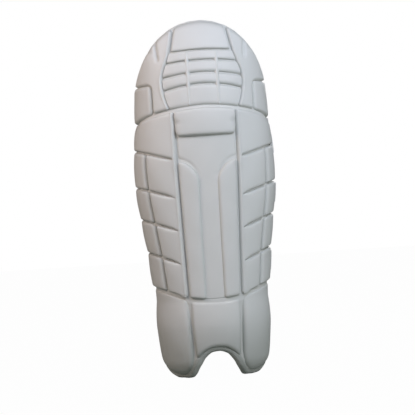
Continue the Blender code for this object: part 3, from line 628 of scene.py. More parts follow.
def finish_piece(piece, body, look, nodes=()):
    """Gives a piece its finish, hangs it on its body and hides the part's solids it stands for."""
    piece.data.materials.clear()
    piece.data.materials.append(looks[look])
    if body:
        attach(piece, body)
    if nodes:
        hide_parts(*nodes)
    return piece


def block(name, body, stands_for, *edges, fill=0.9, **shape):
    """A block of the facing, shown in place of one solid of the part."""
    return finish_piece(pad(name, *edges, **shape), body, "facing", [stands_for])


SIDES = (("left", -1), ("right", 1))
GAP = 0.0008  # from a groove's middle line to a block's edge
print("blocks stand", BLOCK_DROP * 1000, "mm above the lowest point of a groove")

# %% [markdown]
# ## The web behind the blocks
# The facing is pressed in one piece, so the bottom of every groove is the same sheet. One thin web per
# section does that work, and the blocks' rolled edges run down into it.


# %% Webs
knee_reach = steady(KNEE_WING_END)
WEB_INSET = 0.004 / WING_REACH


def web(name, body, low, high, reach):
    edges = both_sides(lambda z: reach(z) - WEB_INSET)
    piece = pad(name, *edges, low, high, (0.003, 0.003, 0.002, 0.002), top=WEB_DEPTH,
                under=BACKING_DEPTH - 0.0002, drop=0.002, crown=0.0, wavy=0.0)
    return finish_piece(piece, body, "facing")


web("shin_facing_web", "shin", shin_bottom, shin_top, rear_across)
web("knee_facing_web", "knee", knee_bottom, raised(dome_edge, -0.004), knee_reach)
print("webs made")

# %% [markdown]
# ## Shin section
# Five columns: a sunk centre column, and on each side an inner and an outer column of bolsters. A
# narrow bead runs down each side of the centre column, and the side grooves die out against it.

# %% Beads beside the centre column
BEAD_WIDTH = 0.0085
BEAD_PROUD = 0.0006


def bead(name, body, inner, low, high, side, width=BEAD_WIDTH, proud=BEAD_PROUD, rims=(0.0055, 0.003)):
    """A long rounded ridge. inner is its edge nearest the centre line, as a distance from it."""
    piece = pad(name, from_x(inner), from_x(lambda z: inner(z) + width), low, high, (*rims, 0.004, 0.004),
                side=side, top=-proud, drop=BLOCK_DROP + proud, crown=0.0, wavy=0.0002)
    return finish_piece(piece, body, "facing")


for word, side in SIDES:
    bead(f"column_bead_{word}", "shin", lambda z: centre_half(z) + GAP, raised(shin_bottom, GAP),
         raised(shin_top, -GAP), side)
print("column beads made")

# %% [markdown]
# The side bolsters fill the grid between the columns and the climbing grooves. Each is a soft block of
# its own, since a foam block swells between its seams. Cut lines in one sheet would leave flat tops.

# %% Side bolsters
SOFT, CRISP = 0.0065, 0.0042  # rolls of the upright and of the level edges
BEAD_TUCK = 0.004
under_bead = from_x(lambda z: centre_half(z) + BEAD_TUCK)


def dying_groove(x, z):
    """Edges roll less and less towards the bead, so that the groove ends in a point."""
    start = centre_half(z) + BEAD_WIDTH
    return np.sqrt(share_between(0.0, 0.012, x - start))


column_edge = lambda shift: lambda z: outer_column(z) + shift / (half_width(z) * QUARTER * 0.8)
rear_edge = lambda z: rear_across(z) - 0.0015 / WING_REACH
for word, side in SIDES:
    for row in range(1, SIDE_ROWS + 1):
        low = raised(side_line(SIDE_ROWS - row), CREASE_HALF + GAP if row == SIDE_ROWS else GAP)
        high = raised(side_line(SIDE_ROWS - row + 1), -GAP)
        block(f"inner_bolster_{word}_{row}", "shin", f"side_bolster_inner_{word}_{row}",
              under_bead, column_edge(-GAP), low, high, (0, SOFT * 0.7, CRISP, CRISP),
              side=side, fade=dying_groove, crown=0.0009)
        block(f"outer_bolster_{word}_{row}", "shin", f"side_bolster_outer_{word}_{row}",
              column_edge(GAP), rear_edge, low, high, (SOFT, 0.006, CRISP, CRISP),
              side=side, crown=0.0012)
    block(f"top_panel_{word}", "shin", f"shin_top_panel_{word}",
          under_bead, rear_edge, raised(side_line(SIDE_ROWS), GAP), raised(shin_top, -GAP),
          (0, 0.006, CRISP, 0.005), side=side, crown=0.0015)
print("side bolsters made")

# %% [markdown]
# The sunk sheet lies lower than its two bolsters, and the tab over it stands proud of everything. The
# valley above the bolsters' shoulders is pressed into the sheet, so it is carved there and not cut out.

# %% Centre column
def groove(distance, half, depth):
    """Depth of a soft groove, from the distance to its middle line."""
    return depth * np.exp(-((distance / half) ** 2))


PANEL_RECESS = 0.0042
TAB_HEIGHT = 0.0505
TAB_HALF = 0.054
TAB_CORNER = 0.010
TAB_PROUD = 0.003
tab_level = KNEE_CREASE - TAB_HEIGHT


def tab_low(across):
    into = np.clip((x_at(across, tab_level) - (TAB_HALF - TAB_CORNER)) / TAB_CORNER, 0, 1)
    return tab_level + TAB_CORNER * (1 - np.sqrt(1 - into**2))


column_side = from_x(lambda z: centre_half(z) - GAP)


def shoulder_valley(x, z):
    """A soft valley in the sunk sheet, just above the shoulders of the centre bolsters."""
    size = across_at(x, FIRST_GROOVE)
    near = z - shoulder_line(size) - 0.0015
    into = share_between(STRIP_HALF - 0.004, STRIP_HALF + 0.006, x)
    cut = groove(near, 0.0038, 0.0022) * into
    # The second value paints shade into the valley, darker the deeper it is cut.
    return cut, np.minimum(1, cut / 0.004)


block("centre_panel_sheet", "shin", "centre_panel", *both_sides(column_side),
      raised(shin_bottom, GAP), steady(tab_level + 0.012), (0.004, 0.004, 0.003, 0),
      fill=0.8, top=PANEL_RECESS, drop=0.0026, crown=0.0003, pitch=0.0022, carve=shoulder_valley)
for word, side in SIDES:
    block(f"centre_bolster_pad_{word}", "shin", f"centre_bolster_{word}",
          from_x(STRIP_HALF), column_side, raised(shin_bottom, GAP), raised(shoulder_line, -GAP),
          (SOFT, SOFT, CRISP, 0.0055), side=side, drop=0.0058, crown=0.0010)
block("knee_tab", "shin", "shin_tab", *both_sides(from_x(TAB_HALF - 0.001)),
      tab_low, raised(shin_top, -GAP), (0.005, 0.005, 0.006, 0.005),
      top=-TAB_PROUD, drop=BLOCK_DROP + TAB_PROUD, crown=0.0012)
print("centre column made")

# %% [markdown]
# ## Knee section
# The knee roll is a field of low rolls in three columns, with a ridge between two columns and a bead
# round the field. Above it sits the plain top panel, and a broad panel wraps each side of the dome.

# %% Knee rolls
ROLL_RISES = (0.0, 0.037, 0.0565, 0.078, 0.095)
ROLL_SAGS = (0.008, 0.009, 0.0065, 0.004, 0.003)
ROLL_COLUMN_HALF = 0.0255
RIDGE_WIDTH = 0.0085
ROLL_SUNK = 0.0012
lines = [field_line(rise, sag) for rise, sag in zip(ROLL_RISES, ROLL_SAGS)]
for row in range(1, len(lines)):
    number = len(lines) - 1 - row
    low = raised(knee_bottom, GAP) if number == 0 else raised(lines[number], GAP)
    high = raised(lines[number + 1], -GAP)
    rolls = (0.0062, 0.005) if row > 1 else (0.004, 0.003)
    for word, side, first, last in (
        ("centre", 1, lambda z: -across_at(ROLL_COLUMN_HALF, z), from_x(ROLL_COLUMN_HALF)),
        ("left", -1, from_x(ROLL_COLUMN_HALF), from_x(field_half)),
        ("right", 1, from_x(ROLL_COLUMN_HALF), from_x(field_half)),
    ):
        block(f"roll_{word}_{row}", "knee", f"knee_roll_{word}_{row}",
              first, last, low, high, (0, 0, *rolls), side=side, top=ROLL_SUNK,
              drop=0.0045 if row > 1 else 0.003, crown=0.0006, pitch=0.0035)
for word, side in SIDES:
    bead(f"roll_ridge_{word}", "knee", steady(ROLL_COLUMN_HALF - RIDGE_WIDTH / 2),
         raised(knee_bottom, GAP), raised(lines[-1], -GAP), side,
         width=RIDGE_WIDTH, proud=-0.0004, rims=(0.0042, 0.0042))
print("knee rolls made")

# %% [markdown]
# The side panels are single sheets whose slot, slit and recess are pressed in, so they are carved in
# depth on a fine grid. A Boolean would leave sharp walls where the pressing has soft ones.

# %% Top panel, side panels and wing blocks
WING_BLOCK_TOP = KNEE_CREASE + 0.041
WING_BLOCK_FROM = 0.088
SLOT_X, SLOT_FOOT = 0.0745, 0.540
SLIT_Z, SLIT_FROM, SLIT_TO = 0.561, 0.080, 0.093


def side_panel_carving(x, z):
    """The slot, the slit and the recess that the wing block sits in."""
    slot = groove(x - SLOT_X - 0.08 * (z - SLOT_FOOT), 0.0026, 0.0044)
    slot *= share_between(0, 0.008, z - SLOT_FOOT)
    ends = share_between(0, 0.004, x - SLIT_FROM) * share_between(0, 0.004, SLIT_TO - x)
    slit = groove(z - SLIT_Z, 0.0022, 0.0028) * ends
    out = np.hypot(np.maximum(0, WING_BLOCK_FROM + 0.008 - x), np.maximum(0, z - WING_BLOCK_TOP + 0.008))
    recess = 0.0062 * (1 - share_between(0.0075, 0.0115, out)) ** 1.5
    cut = np.maximum(np.maximum(slot, slit), recess)
    # The second value paints shade into the slot, the slit and the recess, darker the deeper they are cut.
    return cut, np.minimum(1, cut / 0.006)


inside_field = from_x(lambda z: field_half(z) + BEAD_TUCK)
dome_side = steady(KNEE_WING_END - 0.0015 / WING_REACH)
under_rim = raised(dome_edge, -0.0015)
for word, side in SIDES:
    block(f"side_panel_{word}", "knee", f"knee_side_panel_{word}",
          inside_field, dome_side, raised(knee_bottom, GAP), under_rim, (0, 0.006, 0.0055, 0.009),
          side=side, carve=side_panel_carving, pitch=0.0013, crown=0.0006)
    bead(f"field_bead_{word}", "knee", lambda z: field_half(z) + GAP, raised(knee_bottom, GAP),
         raised(dome_edge, -0.003), side, width=0.008)
    block(f"wing_block_{word}", "knee", f"knee_wing_block_{word}",
          from_x(WING_BLOCK_FROM), dome_side, raised(knee_bottom, GAP),
          lambda across: np.minimum(WING_BLOCK_TOP, under_rim(across)), (0.007, 0.006, 0.0055, 0.006),
          side=side, crown=0.0012)
block("top_panel_pad", "knee", "top_hat_centre_panel",
      *both_sides(from_x(lambda z: field_half(z) - GAP)), raised(lines[-1], GAP), under_rim,
      (0.005, 0.005, 0.004, 0.011), crown=0.0012)
print("knee panels made")

# %% [markdown]
# ## Instep section
# A hollow centre panel between two thick side lobes, with the arch cut out of its foot. The arch needs
# its own edge line, so the panel's low edge follows the arch and the lobes stop at it.

# %% Instep panels
SEAM_GAP = 0.0014
BELLY_HEIGHT = 0.088  # where the instep stands out furthest


def belly(x, z):
    """The instep leans out from its crease to a belly, then curls in towards the foot."""
    over = 0.0042 * share_between(BELLY_HEIGHT, INSTEP_CREASE, z) ** 1.3
    below = 0.0052 * share_between(0, BELLY_HEIGHT - 0.006, BELLY_HEIGHT - z) ** 1.8
    return over + below, np.zeros_like(z)


block("instep_hollow", "instep", "instep_centre_panel",
      *both_sides(from_x(lambda z: seam_half(z) - SEAM_GAP)), foot_edge, raised(instep_top, -GAP),
      (0.0075, 0.0075, 0.008, 0.0055), top=-0.0004, crown=0.0006, pitch=0.003, carve=belly)
lobe_inner = from_x(lambda z: seam_half(z) + SEAM_GAP)
for word, side in SIDES:
    block(f"instep_lobe_{word}", "instep", f"instep_side_panel_{word}",
          lobe_inner, rear_edge, foot_edge, raised(instep_top, -GAP), (0.0095, 0.006, 0.013, 0.005),
          fill=0.95, side=side, top=-0.0008, crown=0.0014, pitch=0.003, carve=belly)
print("instep panels made")

# %% [markdown]
# ## Foam, lining and edges
# Behind the facing lies a sheet of foam, and behind that a brushed lining. The raw edges of the
# sandwich would show at the wings, over the dome and round the arch. There the facing is turned over
# the edge and sewn down on the lining, which gives the thick rolled rim.


# %% Foam and lining
EDGE_ROLL = 0.0062


def layer(name, body, stands_for, look, low, high, reach, top, under):
    """A plain sheet of the sandwich between two depths."""
    edges = both_sides(lambda z: reach(z) - EDGE_ROLL / WING_REACH)
    piece = pad(name, *edges, low, high, (0, 0, 0, 0), top=top, under=under, drop=0.0, crown=0.0,
                pitch=0.006, wavy=0.0)
    return finish_piece(piece, body, look, [stands_for])


shin_edges = (shin_bottom, shin_top, rear_across)
knee_edges = (knee_bottom, raised(dome_edge, -EDGE_ROLL), knee_reach)
foam_back = BACKING_DEPTH + BACKING_THICKNESS
shin_foam = layer("shin_foam", "shin", "shin_backing", "foam", *shin_edges, BACKING_DEPTH, foam_back)
knee_foam = layer("knee_foam", "knee", "knee_backing", "foam", *knee_edges, BACKING_DEPTH, foam_back)
layer("instep_foam", "instep", "instep_backing", "foam", raised(foot_edge, 0.003), instep_top,
      rear_across, WEB_DEPTH, SHIN_BACK)
shin_cloth = layer("shin_lining_cloth", "shin", "shin_lining", "lining", *shin_edges, LINING_DEPTH,
                   SHIN_BACK)
knee_cloth = layer("knee_lining_cloth", "knee", "knee_lining", "lining", *knee_edges, PLATE_DEPTH,
                   KNEE_BACK)


print("layers made")

# %% [markdown]
# The creases are where the guard bends. Behind each one a strip of the facing bridges the gap, so that
# no daylight shows at rest. It lies in three pieces at the instep, because that crease climbs.

# %% Gussets
GUSSET_REACH = 0.0065
GUSSET_TOP, GUSSET_UNDER = 0.0050, 0.0086
CREASE_AT_WING = 0.16  # about how high the instep crease has climbed at the wing's edge


def gusset(name, crease, half_gap, first, last):
    piece = pad(name, steady(first), steady(last),
                lambda across: crease(across) - half_gap(across) - GUSSET_REACH,
                lambda across: crease(across) + half_gap(across) + GUSSET_REACH, (0, 0, 0, 0),
                top=GUSSET_TOP, under=GUSSET_UNDER, drop=0.0, crown=0.0, pitch=0.003, wavy=0.0002)
    finish_piece(piece, None, "facing")
    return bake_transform(piece)


knee_end = KNEE_WING_END - WEB_INSET
side_end = float(rear_across(CREASE_AT_WING)) - WEB_INSET
narrow = steady(CREASE_HALF)
gusset("knee_crease_gusset", knee_crease, crease_half_gap, -knee_end, knee_end)
gusset("instep_gusset_middle", instep_crease, narrow, -0.45, 0.45)
gusset("instep_gusset_right", instep_crease, narrow, 0.45, side_end)
gusset("instep_gusset_left", instep_crease, narrow, -side_end, -0.45)
print("gussets made")

# %% [markdown]
# ## Rolled rims
# Round the dome, down the wings and over the arch, the facing is turned over the edge of the foam and
# sewn down on the lining. Each rim is one section drawn along the edge: a tuck under the blocks, a
# full round edge, and a hem on the lining with its row of stitches.


# %% Rims
def edge_frames(across, z, outward):
    """Points along an edge of the skin, with the inward and the outward direction at each."""
    surface_points = skin(across, z, 0.0)
    inward = (skin(across, z, 0.001) - surface_points) / 0.001
    along = np.gradient(surface_points, axis=0)
    along /= np.linalg.norm(along, axis=1, keepdims=True)
    sideways = outward * np.cross(inward, along)
    return surface_points, inward, sideways / np.linalg.norm(sideways, axis=1, keepdims=True)


def even(across, z, step=0.003):
    """The same path with points at even distances."""
    run = run_of(skin(across, z, 0.0))
    places = np.linspace(0, run[-1], max(2, int(run[-1] / step)))
    return np.interp(places, run, across), np.interp(places, run, z)


def rim_section(back, swell):
    """(outward, inward) points of a rim's section, whose hem lies at the depth back."""
    front = [(-0.0050, 0.0058), (-0.0034, 0.0050), (-0.0016, 0.0049)]
    turns = np.linspace(-QUARTER, QUARTER, 13)[1:-1]
    middle, half = (back + 0.0049) / 2, (back - 0.0049) / 2
    bulge_out = [
        (-0.0016 + (swell + 0.0016) * math.cos(turn) ** 0.8, middle + half * math.sin(turn))
        for turn in turns
    ]
    hem = [(-0.0030, back + 0.0007), (-0.0060, back + 0.0009), (-0.0090, back + 0.0008),
           (-0.0101, back + 0.0003), (-0.0101, back - 0.0003), (-0.0085, back - 0.0008),
           (-0.0050, back - 0.0012)]
    return np.array(front + bulge_out + hem + [(-0.0052, back - 0.006), (-0.0054, 0.0095)])


def rim(name, body, across, z, outward, back, swell):
    """A rolled rim along a path. swell is how far it stands out past the edge, maybe by height."""
    across, z = even(across, z)
    place, inward, sideways = edge_frames(across, z, outward)
    swell = swell(z) if callable(swell) else np.full(len(z), swell)
    loops = []
    for i in range(len(z)):
        section = rim_section(back, swell[i])
        wave = 0.0002 * math.sin(i * 0.9) + 0.00015 * math.sin(i * 0.37 + 1)
        loops.append(place[i] + (section[:, :1] + wave) * sideways[i] + section[:, 1:] * inward[i])
    loops = np.array(loops)
    count, around = loops.shape[:2]
    index = np.arange(count * around).reshape(count, around)
    following = np.roll(index, -1, axis=1)
    sides = np.stack([index[:-1], following[:-1], following[1:], index[1:]], -1).reshape(-1, 4).tolist()
    faces = sides + [index[0].tolist(), index[-1][::-1].tolist()]
    # Painted shade: the tuck and the start of the roll, where the rim meets the blocks, are drawn darker.
    rolled = np.tile(np.where(rim_section(back, 0.001)[:, 1] < 0.006, 0.8, 0.1), count)
    piece = mesh_object(name, loops.reshape(-1, 3), faces, rolled)
    finish_piece(piece, body, "facing")
    hem = place - 0.0072 * sideways + (back + 0.0009) * inward
    stitch_row(f"{name}_stitches", body, hem, inward)
    return piece


def stitch_row(name, body, points, outward, pitch=0.0042, length=0.0028, thick=0.0004):
    """A row of stitches lying on a surface, as one mesh."""
    run = run_of(points)
    starts = np.arange(pitch, run[-1] - pitch, pitch)
    shape = ((0.0, 0.35), (0.18, 0.9), (0.5, 1.0), (0.82, 0.9), (1.0, 0.35))
    around = [(math.cos(a), math.sin(a)) for a in np.linspace(0, 2 * math.pi, 7)[:-1]]
    verts, faces = [], []
    up = read_at(starts, run, outward)
    origin = read_at(starts, run, points)
    ahead = read_at(starts + length, run, points) - origin
    ahead /= np.linalg.norm(ahead, axis=1, keepdims=True)
    side = np.cross(up, ahead)
    for i in range(len(starts)):
        base = len(verts)
        for share, size in shape:
            centre = origin[i] + ahead[i] * length * share + up[i] * thick * (0.5 * size - 0.35)
            verts += [centre + thick * size * (c * side[i] + d * up[i]) for c, d in around]
        for ring in range(len(shape) - 1):
            for k in range(6):
                a, b = base + ring * 6 + k, base + ring * 6 + (k + 1) % 6
                faces.append([a, b, b + 6, a + 6])
        faces.append([base + k for k in range(5, -1, -1)])
        faces.append([base + 24 + k for k in range(6)])
    piece = mesh_object(name, np.array(verts), faces)
    return finish_piece(piece, body, "thread")


RIM_SWELL = 0.0012
RIM_END_GAP = 0.0005  # from a rim's end to the crease
turn = np.linspace(0, QUARTER, 15)
wing_across = 1 + (KNEE_WING_END - 1) * np.sin(turn)
room = DOME_CENTRE - knee_bottom(KNEE_WING_END) - CREASE_GAP
wing_z = DOME_CENTRE - room * (1 - np.cos(turn))
wing_across = np.append(wing_across, KNEE_WING_END)
wing_z = np.append(wing_z, knee_bottom(KNEE_WING_END) + RIM_END_GAP)
top_across = np.linspace(-1, 1, 121)[1:-1]
dome_across = np.concatenate([-wing_across[::-1], top_across, wing_across])
dome_z = np.concatenate([wing_z[::-1], dome_edge(top_across), wing_z])
rim("knee_rim", "knee", dome_across, dome_z, -1, KNEE_BACK, RIM_SWELL)
rim_reach = lambda z: rear_across(z) - 0.001 / WING_REACH
for word, side in SIDES:
    shin_z = np.linspace(float(shin_bottom(rear_across(CREASE_AT_WING))) + RIM_END_GAP,
                         float(shin_top(KNEE_WING_END)) - RIM_END_GAP, 90)
    rim(f"shin_rim_{word}", "shin", side * rim_reach(shin_z), shin_z, -side, SHIN_BACK, RIM_SWELL)
side_z = np.linspace(float(instep_top(rear_across(0.14))) - RIM_END_GAP, float(foot_edge(FOOT_PATH_END)),
                     40)[:-1]
foot_across = np.linspace(FOOT_PATH_END, -FOOT_PATH_END, 161)
corner = rim_reach(side_z)
foot_z = foot_edge(foot_across)
path_across = np.concatenate([corner, foot_across, -corner[::-1]])
path_z = np.concatenate([side_z, foot_z, side_z[::-1]])
for _ in range(6):
    path_across[1:-1] = (path_across[:-2] + 2 * path_across[1:-1] + path_across[2:]) / 4
    path_z[1:-1] = (path_z[:-2] + 2 * path_z[1:-1] + path_z[2:]) / 4
foot_swell = lambda z: np.clip(z - 0.0004, RIM_SWELL, np.where(z > 0.1, RIM_SWELL, 0.0066))
rim("instep_rim", "instep", path_across, path_z, -1, SHIN_BACK, foot_swell)
print("rims made")

# %% [markdown]
# ## Behind the leg
# Three straps are sewn inside one wing and close on loop patches outside the other. Straps are flat
# webbing, so each is drawn directly, with its long edges rolled thin and sewn. The two shin rolls and the
# knee cup are soft fabric pads: their shapes are filled by a cloth simulation that blows them up a little.

# %% Straps
STRAP_WIDTH = 0.034
STRAP_THICKNESS = 0.0030
STRAP_BOW = 0.030
STRAP_SQUARENESS = 0.75  # below 1, the loop behind the leg is squarer than an ellipse
STRAP_POINTS = 131
STRAP_OVERLAP = 0.026
PATCH_THICKNESS = 0.0020
ANCHOR_LENGTH = 0.020
ANCHOR_TAIL = 0.0040
PATCH_MARGIN = 0.002
STRAP_STITCH = 0.0026
STRAPS = {name: joints[f"{name}_open"]["pos_m"] for name in ("knee_strap", "calf_strap", "ankle_strap")}


def strap_line(hinge, z):
    """The strap's middle line in plan, from its sewn edge round the back and onto the loop patch."""
    stack = PATCH_THICKNESS + 2 * LAYER_GAP + STRAP_THICKNESS / 2
    start = np.array(hinge[:2])
    rear = float(rear_across(z))
    lap = STRAP_OVERLAP / WING_REACH
    laps = np.array([skin(rear - lap * share, z, -stack)[:2] for share in (0.0, 0.35, 0.7, 1.0)])
    corner_x, corner_y = laps[0]
    back_y = max(start[1], corner_y) + STRAP_BOW
    share = np.linspace(0, 1, 61)
    angle = math.pi * (1 - share)
    swing = np.sign(np.cos(angle)) * np.abs(np.cos(angle)) ** STRAP_SQUARENESS
    x = (start[0] + corner_x) / 2 + (corner_x - start[0]) / 2 * swing
    foot = start[1] + (corner_y - start[1]) * share
    y = foot + (back_y - foot) * np.abs(np.sin(angle)) ** STRAP_SQUARENESS
    line = np.concatenate([np.stack([x, y], -1), laps[1:]])
    run = run_of(line)
    return read_at(np.linspace(0, run[-1], STRAP_POINTS), run, line)


def strap(name, hinge):
    shares = np.concatenate([[0, 0.012, 0.035, 0.07], np.linspace(0.12, 0.88, 9), [0.93, 0.965, 0.988, 1]])
    half = STRAP_THICKNESS / 2 * (0.25 + 0.75 * (1 - np.abs(2 * shares - 1) ** 14) ** 0.5)
    half *= 1 - 0.18 * np.exp(-(((np.abs(2 * shares - 1) - 0.80) / 0.05) ** 2))
    outer, inner, middle, normals = [], [], [], []
    for share, thick in zip(shares, half):
        z = hinge[2] + STRAP_WIDTH * (share - 0.5)
        line = strap_line(hinge, z)
        along = np.gradient(line, axis=0)
        along /= np.linalg.norm(along, axis=1, keepdims=True)
        normal = np.stack([-along[:, 1], along[:, 0]], -1)
        place = np.arange(len(line))
        ripple = 0.00035 * np.sin(place * 0.21 + 5 * share) * np.sin(math.pi * place / len(line))
        for grid, sign in ((outer, 1), (inner, -1)):
            flat = line + normal * (sign * thick + ripple)[:, None]
            grid.append(np.column_stack([flat, np.full(len(line), z)]))
        middle.append(np.column_stack([line + normal * (thick + ripple)[:, None], np.full(len(line), z)]))
        normals.append(np.column_stack([normal, np.zeros(len(line))]))
    worn = 0.6 * np.abs(2 * shares - 1)[:, None] ** 8 * np.ones((len(shares), STRAP_POINTS))
    piece = box_mesh(f"{name}_band", np.array(outer), np.array(inner), worn)
    finish_piece(piece, name, "webbing", [name])
    for word, row in (("low", 3), ("high", -4)):
        sign = 1 if normals[row][STRAP_POINTS // 2, 1] > 0 else -1
        points = middle[row] if sign > 0 else middle[row] - 2 * half[row] * normals[row]
        stitch_row(f"{name}_stitches_{word}", name, points, sign * normals[row], length=STRAP_STITCH)


def behind_edge(distance):
    """An upright edge at a distance in front of the wing's rear edge, or behind it if negative."""
    return lambda z: rear_across(z) - distance / WING_REACH


for name, hinge in STRAPS.items():
    strap(name, hinge)
    low, high = (steady(hinge[2] + way * STRAP_WIDTH / 2) for way in (-1, 1))
    anchor = pad(f"{name}_tail", behind_edge(ANCHOR_LENGTH), behind_edge(-ANCHOR_TAIL), low, high,
                 (0.001, 0.001, 0.001, 0.001), side=-1, top=INNER_DEPTH,
                 under=INNER_DEPTH + PATCH_THICKNESS, drop=0.0008, crown=0.0, wavy=0.0)
    finish_piece(anchor, "shin", "webbing", [f"{name}_anchor"])
    patch = pad(f"{name}_pile", behind_edge(STRAP_OVERLAP + PATCH_MARGIN), rear_across,
                raised(low, -PATCH_MARGIN), raised(high, PATCH_MARGIN), (0.0015, 0.0015, 0.0015, 0.0015),
                top=-LAYER_GAP - PATCH_THICKNESS, under=-LAYER_GAP, drop=0.0014, crown=0.0, wavy=0.0002)
    finish_piece(patch, "shin", "loop", [f"{name}_loop_patch"])
    heights = np.linspace(low(0) + 0.004, high(0) - 0.004, 12)
    for word, back in (("near", 0.0045), ("far", ANCHOR_LENGTH - 0.003)):
        across = -behind_edge(back)(heights)
        place = skin(across, heights, INNER_DEPTH + PATCH_THICKNESS)
        inward = (skin(across, heights, INNER_DEPTH + 0.004) - place) / 0.002
        stitch_row(f"{name}_tail_stitches_{word}", "shin", place, inward, length=STRAP_STITCH)
print(len(STRAPS), "straps made")

# %% [markdown]
# The rolls and the cup start as the part's own plain solids. Those are remeshed evenly, shrunk a little,
# and filled with pressure as cloth, which gives the slack skin of a stuffed pad. The result is applied.

# %% Soft rolls and knee cup
CLOTH_FRAMES = 20
CLOTH_PRESSURE = 4.0


def applied(piece):
    """Swaps a piece's mesh for the one its modifiers make."""
    bpy.context.view_layer.update()
    graph = bpy.context.evaluated_depsgraph_get()
    made = bpy.data.meshes.new_from_object(piece.evaluated_get(graph))
    piece.modifiers.clear()
    piece.data = made
    return np.array([vertex.co for vertex in made.vertices])


def stuffed(name, solid, body, shrink=0.0012, cap=0.006, voxel=0.0042):
    """A fabric pad: the solid's shape, made a little smaller, then blown up as cloth and held within cap."""
    mesh = frame["nodes"][solid].data.copy()
    mesh.transform(frame["nodes"][solid].matrix_world)
    piece = bpy.data.objects.new(name, mesh)
    bpy.context.scene.collection.objects.link(piece)
    remesh = piece.modifiers.new("even", "REMESH")
    remesh.mode, remesh.voxel_size = "VOXEL", voxel
    smooth = piece.modifiers.new("round", "SMOOTH")
    smooth.iterations = 4
    start = applied(piece)
    normals = np.array([vertex.normal for vertex in piece.data.vertices])
    start = start - shrink * normals
    piece.data.vertices.foreach_set("co", start.ravel())
    cloth = piece.modifiers.new("fill", "CLOTH")
    cloth.settings.quality = 6
    cloth.settings.use_pressure = True
    cloth.settings.uniform_pressure_force = CLOTH_PRESSURE
    cloth.settings.effector_weights.gravity = 0.0
    for step in range(1, CLOTH_FRAMES + 1):
        bpy.context.scene.frame_set(step)
    moved = applied(piece) - start
    bpy.context.scene.frame_set(1)
    far = np.linalg.norm(moved, axis=1, keepdims=True)
    start = start + moved * np.minimum(1, cap / np.maximum(far, 1e-9))
    piece.data.vertices.foreach_set("co", start.ravel())
    print(name, "filled, moved", round(float(far.max()) * 1000, 2), "mm at most")
    piece.modifiers.new("finer", "SUBSURF").levels = 1
    applied(piece)
    piece.data.shade_smooth()
    return finish_piece(piece, body, "lining", [solid])


for word, _ in SIDES:
    stuffed(f"shin_roll_{word}", f"inner_shin_roll_{word}", "shin")
stuffed("knee_cup_cushion", "knee_cup", "knee")
print("rolls and cup made")

# %% [markdown]
# ## Camera, light and floor
# The guard stands upright on a pale floor before a white backdrop, seen from in front at shin height and
# a few degrees off level. A cool key from the right and warmer light from the left model the blocks, and
# a lamp behind shows the straps. The floor glows to the camera only, so it adds no light of its own.

# %% Camera, light and floor
CAMERA_AZIMUTH = math.radians(-4.0)
CAMERA_DISTANCE = 2.6
EYE_LEVEL = 0.290
ROLL = math.radians(3.5)
VIEW_HEIGHT = 0.712


def build_camera():
    centre = Vector((-0.002, -0.035, EYE_LEVEL))
    forward = Vector((-math.sin(CAMERA_AZIMUTH), math.cos(CAMERA_AZIMUTH), 0.0))
    level = Vector((math.cos(CAMERA_AZIMUTH), math.sin(CAMERA_AZIMUTH), 0.0))
    up = Vector((0, 0, 1)) * math.cos(ROLL) + level * math.sin(ROLL)
    right = level * math.cos(ROLL) - Vector((0, 0, 1)) * math.sin(ROLL)
    data = bpy.data.cameras.new("camera")
    data.sensor_width = 36
    data.lens = 36 * CAMERA_DISTANCE / VIEW_HEIGHT
    made = bpy.data.objects.new("camera", data)
    bpy.context.scene.collection.objects.link(made)
    turn = Matrix((right, up, -forward)).transposed().to_4x4()
    made.matrix_world = Matrix.Translation(centre - forward * CAMERA_DISTANCE) @ turn
    bpy.context.scene.camera = made


build_camera()


def area_light(name, place, target, size, power, colour):
    data = bpy.data.lights.new(name, "AREA")
    data.shape = "DISK"
    data.size, data.energy, data.color = size, power, colour
    made = bpy.data.objects.new(name, data)
    bpy.context.scene.collection.objects.link(made)
    aim = Vector(target) - Vector(place)
    made.matrix_world = Matrix.Translation(place) @ aim.to_track_quat("-Z", "Y").to_matrix().to_4x4()


area_light("key", (0.65, -1.0, 0.9), (0, 0, 0.45), 0.6, 6.1, (0.95, 0.98, 1.0))
area_light("window", (0.15, -0.75, 0.95), (0, 0, 0.45), 0.5, 2.2, (0.62, 0.74, 1.0))
area_light("front_left", (-0.35, -0.95, 1.2), (0, 0, 0.45), 0.6, 1.0, (1.0, 0.90, 0.79))
area_light("warm_side", (-0.85, -0.45, 0.80), (0, 0, 0.42), 0.5, 4.0, (1.0, 0.84, 0.75))
area_light("low_right", (0.9, -0.6, 0.12), (0, 0, 0.12), 0.5, 1.2, (0.95, 1.0, 0.94))
area_light("behind", (0.5, 1.6, 1.0), (0, 0, 0.35), 1.0, 9.0, (1.0, 1.0, 1.0))


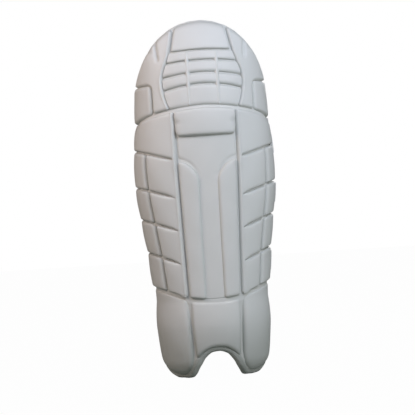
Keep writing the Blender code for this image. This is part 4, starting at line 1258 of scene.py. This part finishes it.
def build_world():
    """A soft grey sky for the light, with a plain white backdrop where the camera looks past the guard."""
    world = bpy.data.worlds.new("studio")
    bpy.context.scene.world = world
    world.use_nodes = True
    tree = world.node_tree
    tree.nodes.clear()
    sky = node(tree, "ShaderNodeBackground", (0, 100), {"Color": (0.93, 0.96, 1.0, 1), "Strength": 0.08})
    backdrop = node(tree, "ShaderNodeBackground", (0, -100), {"Color": (1, 1, 1, 1)})
    path = node(tree, "ShaderNodeLightPath", (-200, 300))
    mix = node(tree, "ShaderNodeMixShader", (250, 0), {
        0: path.outputs["Is Camera Ray"], 1: sky.outputs[0], 2: backdrop.outputs[0]})
    node(tree, "ShaderNodeOutputWorld", (450, 0), {0: mix.outputs[0]})


build_world()

FLOOR_HALF = 6.0
FLOOR_GLOW = 0.985  # how much of the floor's own white the camera sees, so that it stays pale


def build_floor():
    corners = FLOOR_HALF * np.array([(-1, -1, 0), (1, -1, 0), (1, 1, 0), (-1, 1, 0)])
    made = mesh_object("floor", corners, np.array([[0, 1, 2, 3]]))
    look = bpy.data.materials.new("pale_floor")
    look.use_nodes = True
    tree = look.node_tree
    shader, out = tree.nodes["Principled BSDF"], tree.nodes["Material Output"]
    shader.inputs["Base Color"].default_value = (0.20, 0.23, 0.20, 1)
    shader.inputs["Roughness"].default_value = 0.9
    glow = node(tree, "ShaderNodeEmission", (-100, -500))
    path = node(tree, "ShaderNodeLightPath", (-500, 500))
    seen = math_node(tree, (-300, 500), "MULTIPLY", path.outputs["Is Camera Ray"], FLOOR_GLOW)
    mix = node(tree, "ShaderNodeMixShader", (150, 200), {
        0: seen, 1: shader.outputs[0], 2: glow.outputs[0]})
    tree.links.new(mix.outputs[0], out.inputs["Surface"])
    made.data.materials.append(look)


build_floor()
bpy.context.scene.view_settings.view_transform = "Standard"
print("camera, lights and floor made")

# %% [markdown]
# The hard plate between foam and lining can't be seen from outside. It is one rigid moulding, so the
# part's own solid is its true shape, and it only needs its finish.

# %% Impact plate
plate = frame["nodes"]["shin_impact_plate"]
plate.data.materials.clear()
plate.data.materials.append(looks["plate"])
print("plate keeps its own solid")
